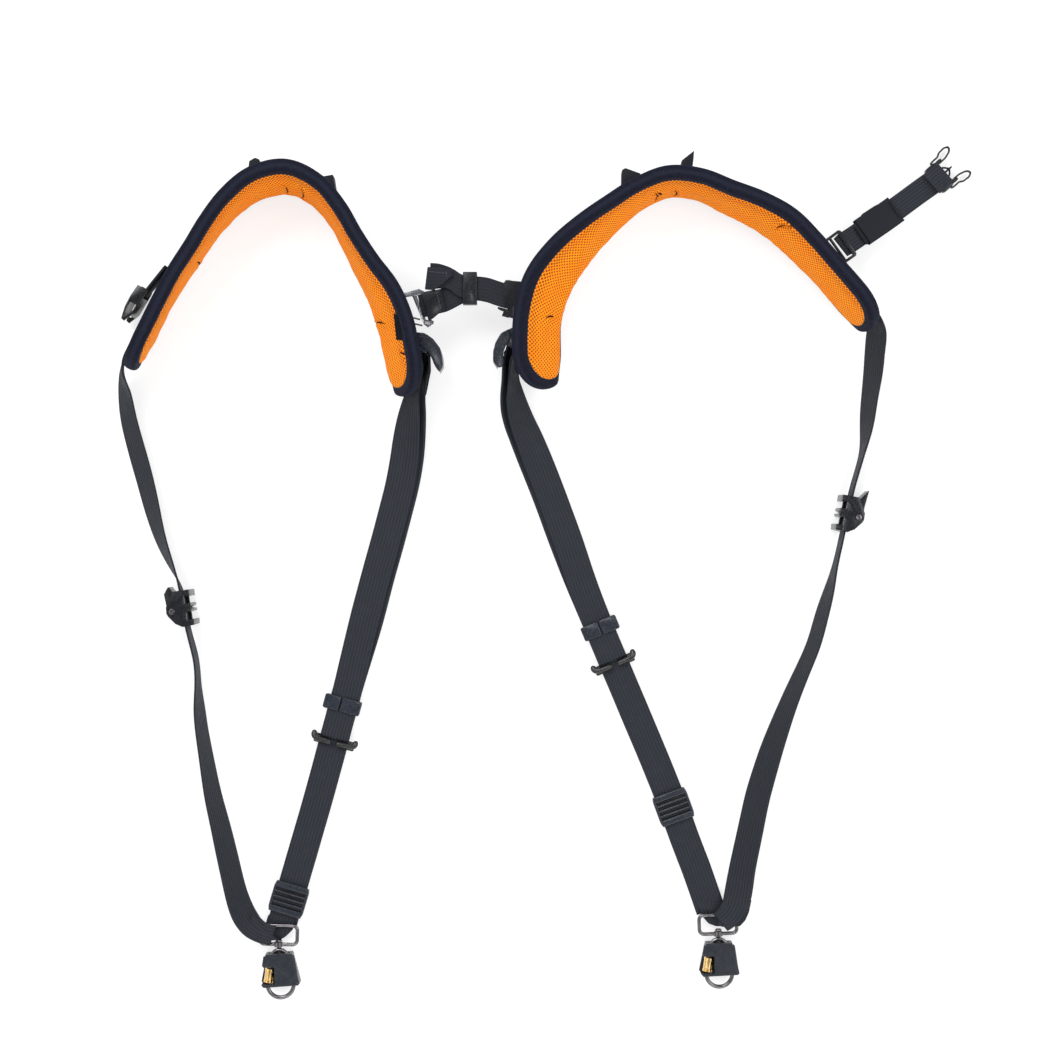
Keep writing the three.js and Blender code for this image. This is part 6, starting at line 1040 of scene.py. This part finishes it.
patch("coupler_hook_fold", [px(u, v, 40.6) for u, v in ((421.4, 293.5), (426, 291.2), (440.5, 289.0), (445.4, 307.5), (433, 318.5), (428.4, 320.5))], 8, M["gloss"], "right_harness", 1.3, r=1.2)
stitches("coupler_fold_stitch", [px(436.2, 291.5, 40.8), px(441.6, 311, 40.8)], "right_harness", M["thread_light"], 2.2)
patch("coupler_lock_block", [px(u, v, 42.5) for u, v in ((504, 281.3), (509, 280.4), (522, 281.5), (524, 286), (519.5, 310), (514, 318.4), (508, 317), (509.5, 309), (503.6, 306))], -15, M["gloss"], "right_harness", 3.0, r=1.4)
v_, f_, u_ = placed(join(prism(rrect(-6, 6, -13.9, 13.9, 1.2), 37.8, 40.0, 0.9, 4), prism(rrect(-6, 6, -13.9, -12.4, 0.6), 31.8, 39, 0.5), prism(rrect(-6, 6, 12.4, 13.9, 0.6), 31.8, 39, 0.5), prism(rrect(-6, 6, -13.4, 13.4, 1.0), 31.6, 32.8, 0.4)), *px(470, 288.7, 35.4)[:2], 0)
obj_from("coupler_keeper_loop", v_, f_, M["plastic"], "coupler_keeper", u_, True, ("coupler_keeper",), angle=55)

# plug body: the strap wraps over it, a thin guide stands between the prongs
def buckle_pt(x, y, z):
    return [bx + x * math.cos(ba) - y * math.sin(ba), by + x * math.sin(ba) + y * math.cos(ba), z]


patch("plug_strap_wrap", [buckle_pt(*q) for q in ((-12, -10.6, 9.9), (-3, -10.7, 10.4), (2.6, -10.7, 10.0), (4.2, -10.4, 8.6), (4.2, 10.4, 8.6), (2.6, 10.7, 10.0), (-3, 10.7, 10.4), (-12, 10.6, 9.9))], 41.5, M["webbing"], "side_strap", 1.5, r=0.8)
v_, f_, u_ = placed(join(prism(rrect(-8.6, 3.2, -12.8, 12.8, 2.6), 1.2, 8.4, 1.1, 4), tube([(3.6, -5.6, 5.2), (6.6, -3.6, 5.2), (8.6, -1.2, 5.2), (9.6, 0, 5.2), (8.6, 1.2, 5.2), (6.6, 3.6, 5.2), (3.6, 5.6, 5.2)], 0.8, 1.9, 30, 12), tube([(3, 0, 5.2), (7, 0, 5.2), (12.4, 0, 5.2)], 0.9, 1.8, 14, 12)), bx, by, 41.5)
obj_from("plug_body", v_, f_, M["plastic"], "side_strap", u_, True, ("male_buckle_body",), angle=55)

# sewn ends of the sleeve and the folded layer behind it
def sleeve_z(u, v):
    q = np.array(SIDE)[:, :3]; p_ = np.array(px(u, v, 14)[:2]); i_ = np.argsort(np.sum((q[:, :2] - p_) ** 2, 1))[:2]
    return float(q[i_, 2].mean())


for nm, a_, b_ in (("far", (889.4, 200.2), (900.6, 217.6)), ("near", (855.6, 226.6), (867.4, 244.4))):
    z_ = sleeve_z((a_[0] + b_[0]) / 2, (a_[1] + b_[1]) / 2) + 2.9
    v_, f_, u_ = tube([px(*a_, z_), px((a_[0] + b_[0]) / 2, (a_[1] + b_[1]) / 2, z_ + 0.2), px(*b_, z_)], 1.35, 0.9, 20, 14)
    obj_from("sleeve_hem_" + nm, v_, f_, M["tab"], "side_strap_sleeve", u_, True, angle=60)
zz = sleeve_z(874, 222)
patch("sleeve_back_layer", [px(u, v, zz - 1.2) for u, v in ((857.5, 221.5), (862, 214), (875, 205.5), (884, 201.5), (888, 207), (864, 226))], 35, M["gloss"], "side_strap_sleeve", 1.2, r=1.2)

# blank fabric label on the left pad
def on_pad(pad, u, v, lift):
    S, H = np.meshgrid(np.linspace(pad.L * 0.55, pad.L, 500), np.linspace(-34, 34, 90), indexing="ij")
    e = pad.half(S); ok = np.abs(H) < e - 1; Q = pad.point(S, H, pad.lining(S, H) + lift)
    k = 0.865 * (1800 - Q[..., 2]) / 1800
    d = (Q[..., 0] / k + 531 - u) ** 2 + (531 - Q[..., 1] / k - v) ** 2 + (~ok) * 1e6
    return Q[np.unravel_index(np.argmin(d), d.shape)]


C_ = [on_pad(PADS["left"], u, v, 0.9) for u, v in ((393.8, 313.6), (398.6, 316), (404.4, 340.4), (396.6, 339.6))]
nn = 6; G_ = np.array([[(C_[0] * (1 - a) + C_[1] * a) * (1 - b) + (C_[3] * (1 - a) + C_[2] * a) * b for a in np.linspace(0, 1, nn)] for b in np.linspace(0, 1, 3 * nn)])
nv = np.cross(G_[0, -1] - G_[0, 0], G_[-1, 0] - G_[0, 0]); nv /= np.linalg.norm(nv); nv *= -1 if nv[2] < 0 else 1
V_ = np.vstack([(G_ + nv * 0.8).reshape(-1, 3), (G_ - nv * 0.6).reshape(-1, 3)]); k_ = 3 * nn * nn
F_ = [(i * nn + j, i * nn + j + 1, (i + 1) * nn + j + 1, (i + 1) * nn + j) for i in range(3 * nn - 1) for j in range(nn - 1)]
F_ += [tuple(q + k_ for q in f[::-1]) for f in F_]
rim_ = list(range(nn)) + [i * nn + nn - 1 for i in range(1, 3 * nn)] + [(3 * nn - 1) * nn + j for j in range(nn - 2, -1, -1)] + [i * nn for i in range(3 * nn - 2, 0, -1)]
F_ += [(rim_[(i + 1) % len(rim_)], rim_[i], rim_[i] + k_, rim_[(i + 1) % len(rim_)] + k_) for i in range(len(rim_))]
obj_from("left_blank_label", V_, F_, M["label"], "left_harness", np.vstack([np.zeros((len(V_), 2))]), True, angle=40)

# ---- floor ------------------------------------------------------------------
me = bpy.data.meshes.new("studio_floor")
me.from_pydata([(-3, -3, 0), (3, -3, 0), (3, 3, 0), (-3, 3, 0)], [], [(0, 1, 2, 3)])
floor = bpy.data.objects.new("studio_floor", me)
floor.location.z = -0.0004
SC.collection.objects.link(floor)
fl = N("pale_floor", rough=0.9, spec=0.1)
fl.p.inputs["Base Color"].default_value = (0.36, 0.36, 0.36, 1)
fl.p.inputs["Emission Color"].default_value = (1, 1, 1, 1)
fl.p.inputs["Emission Strength"].default_value = 0.67
me.materials.append(fl.m)
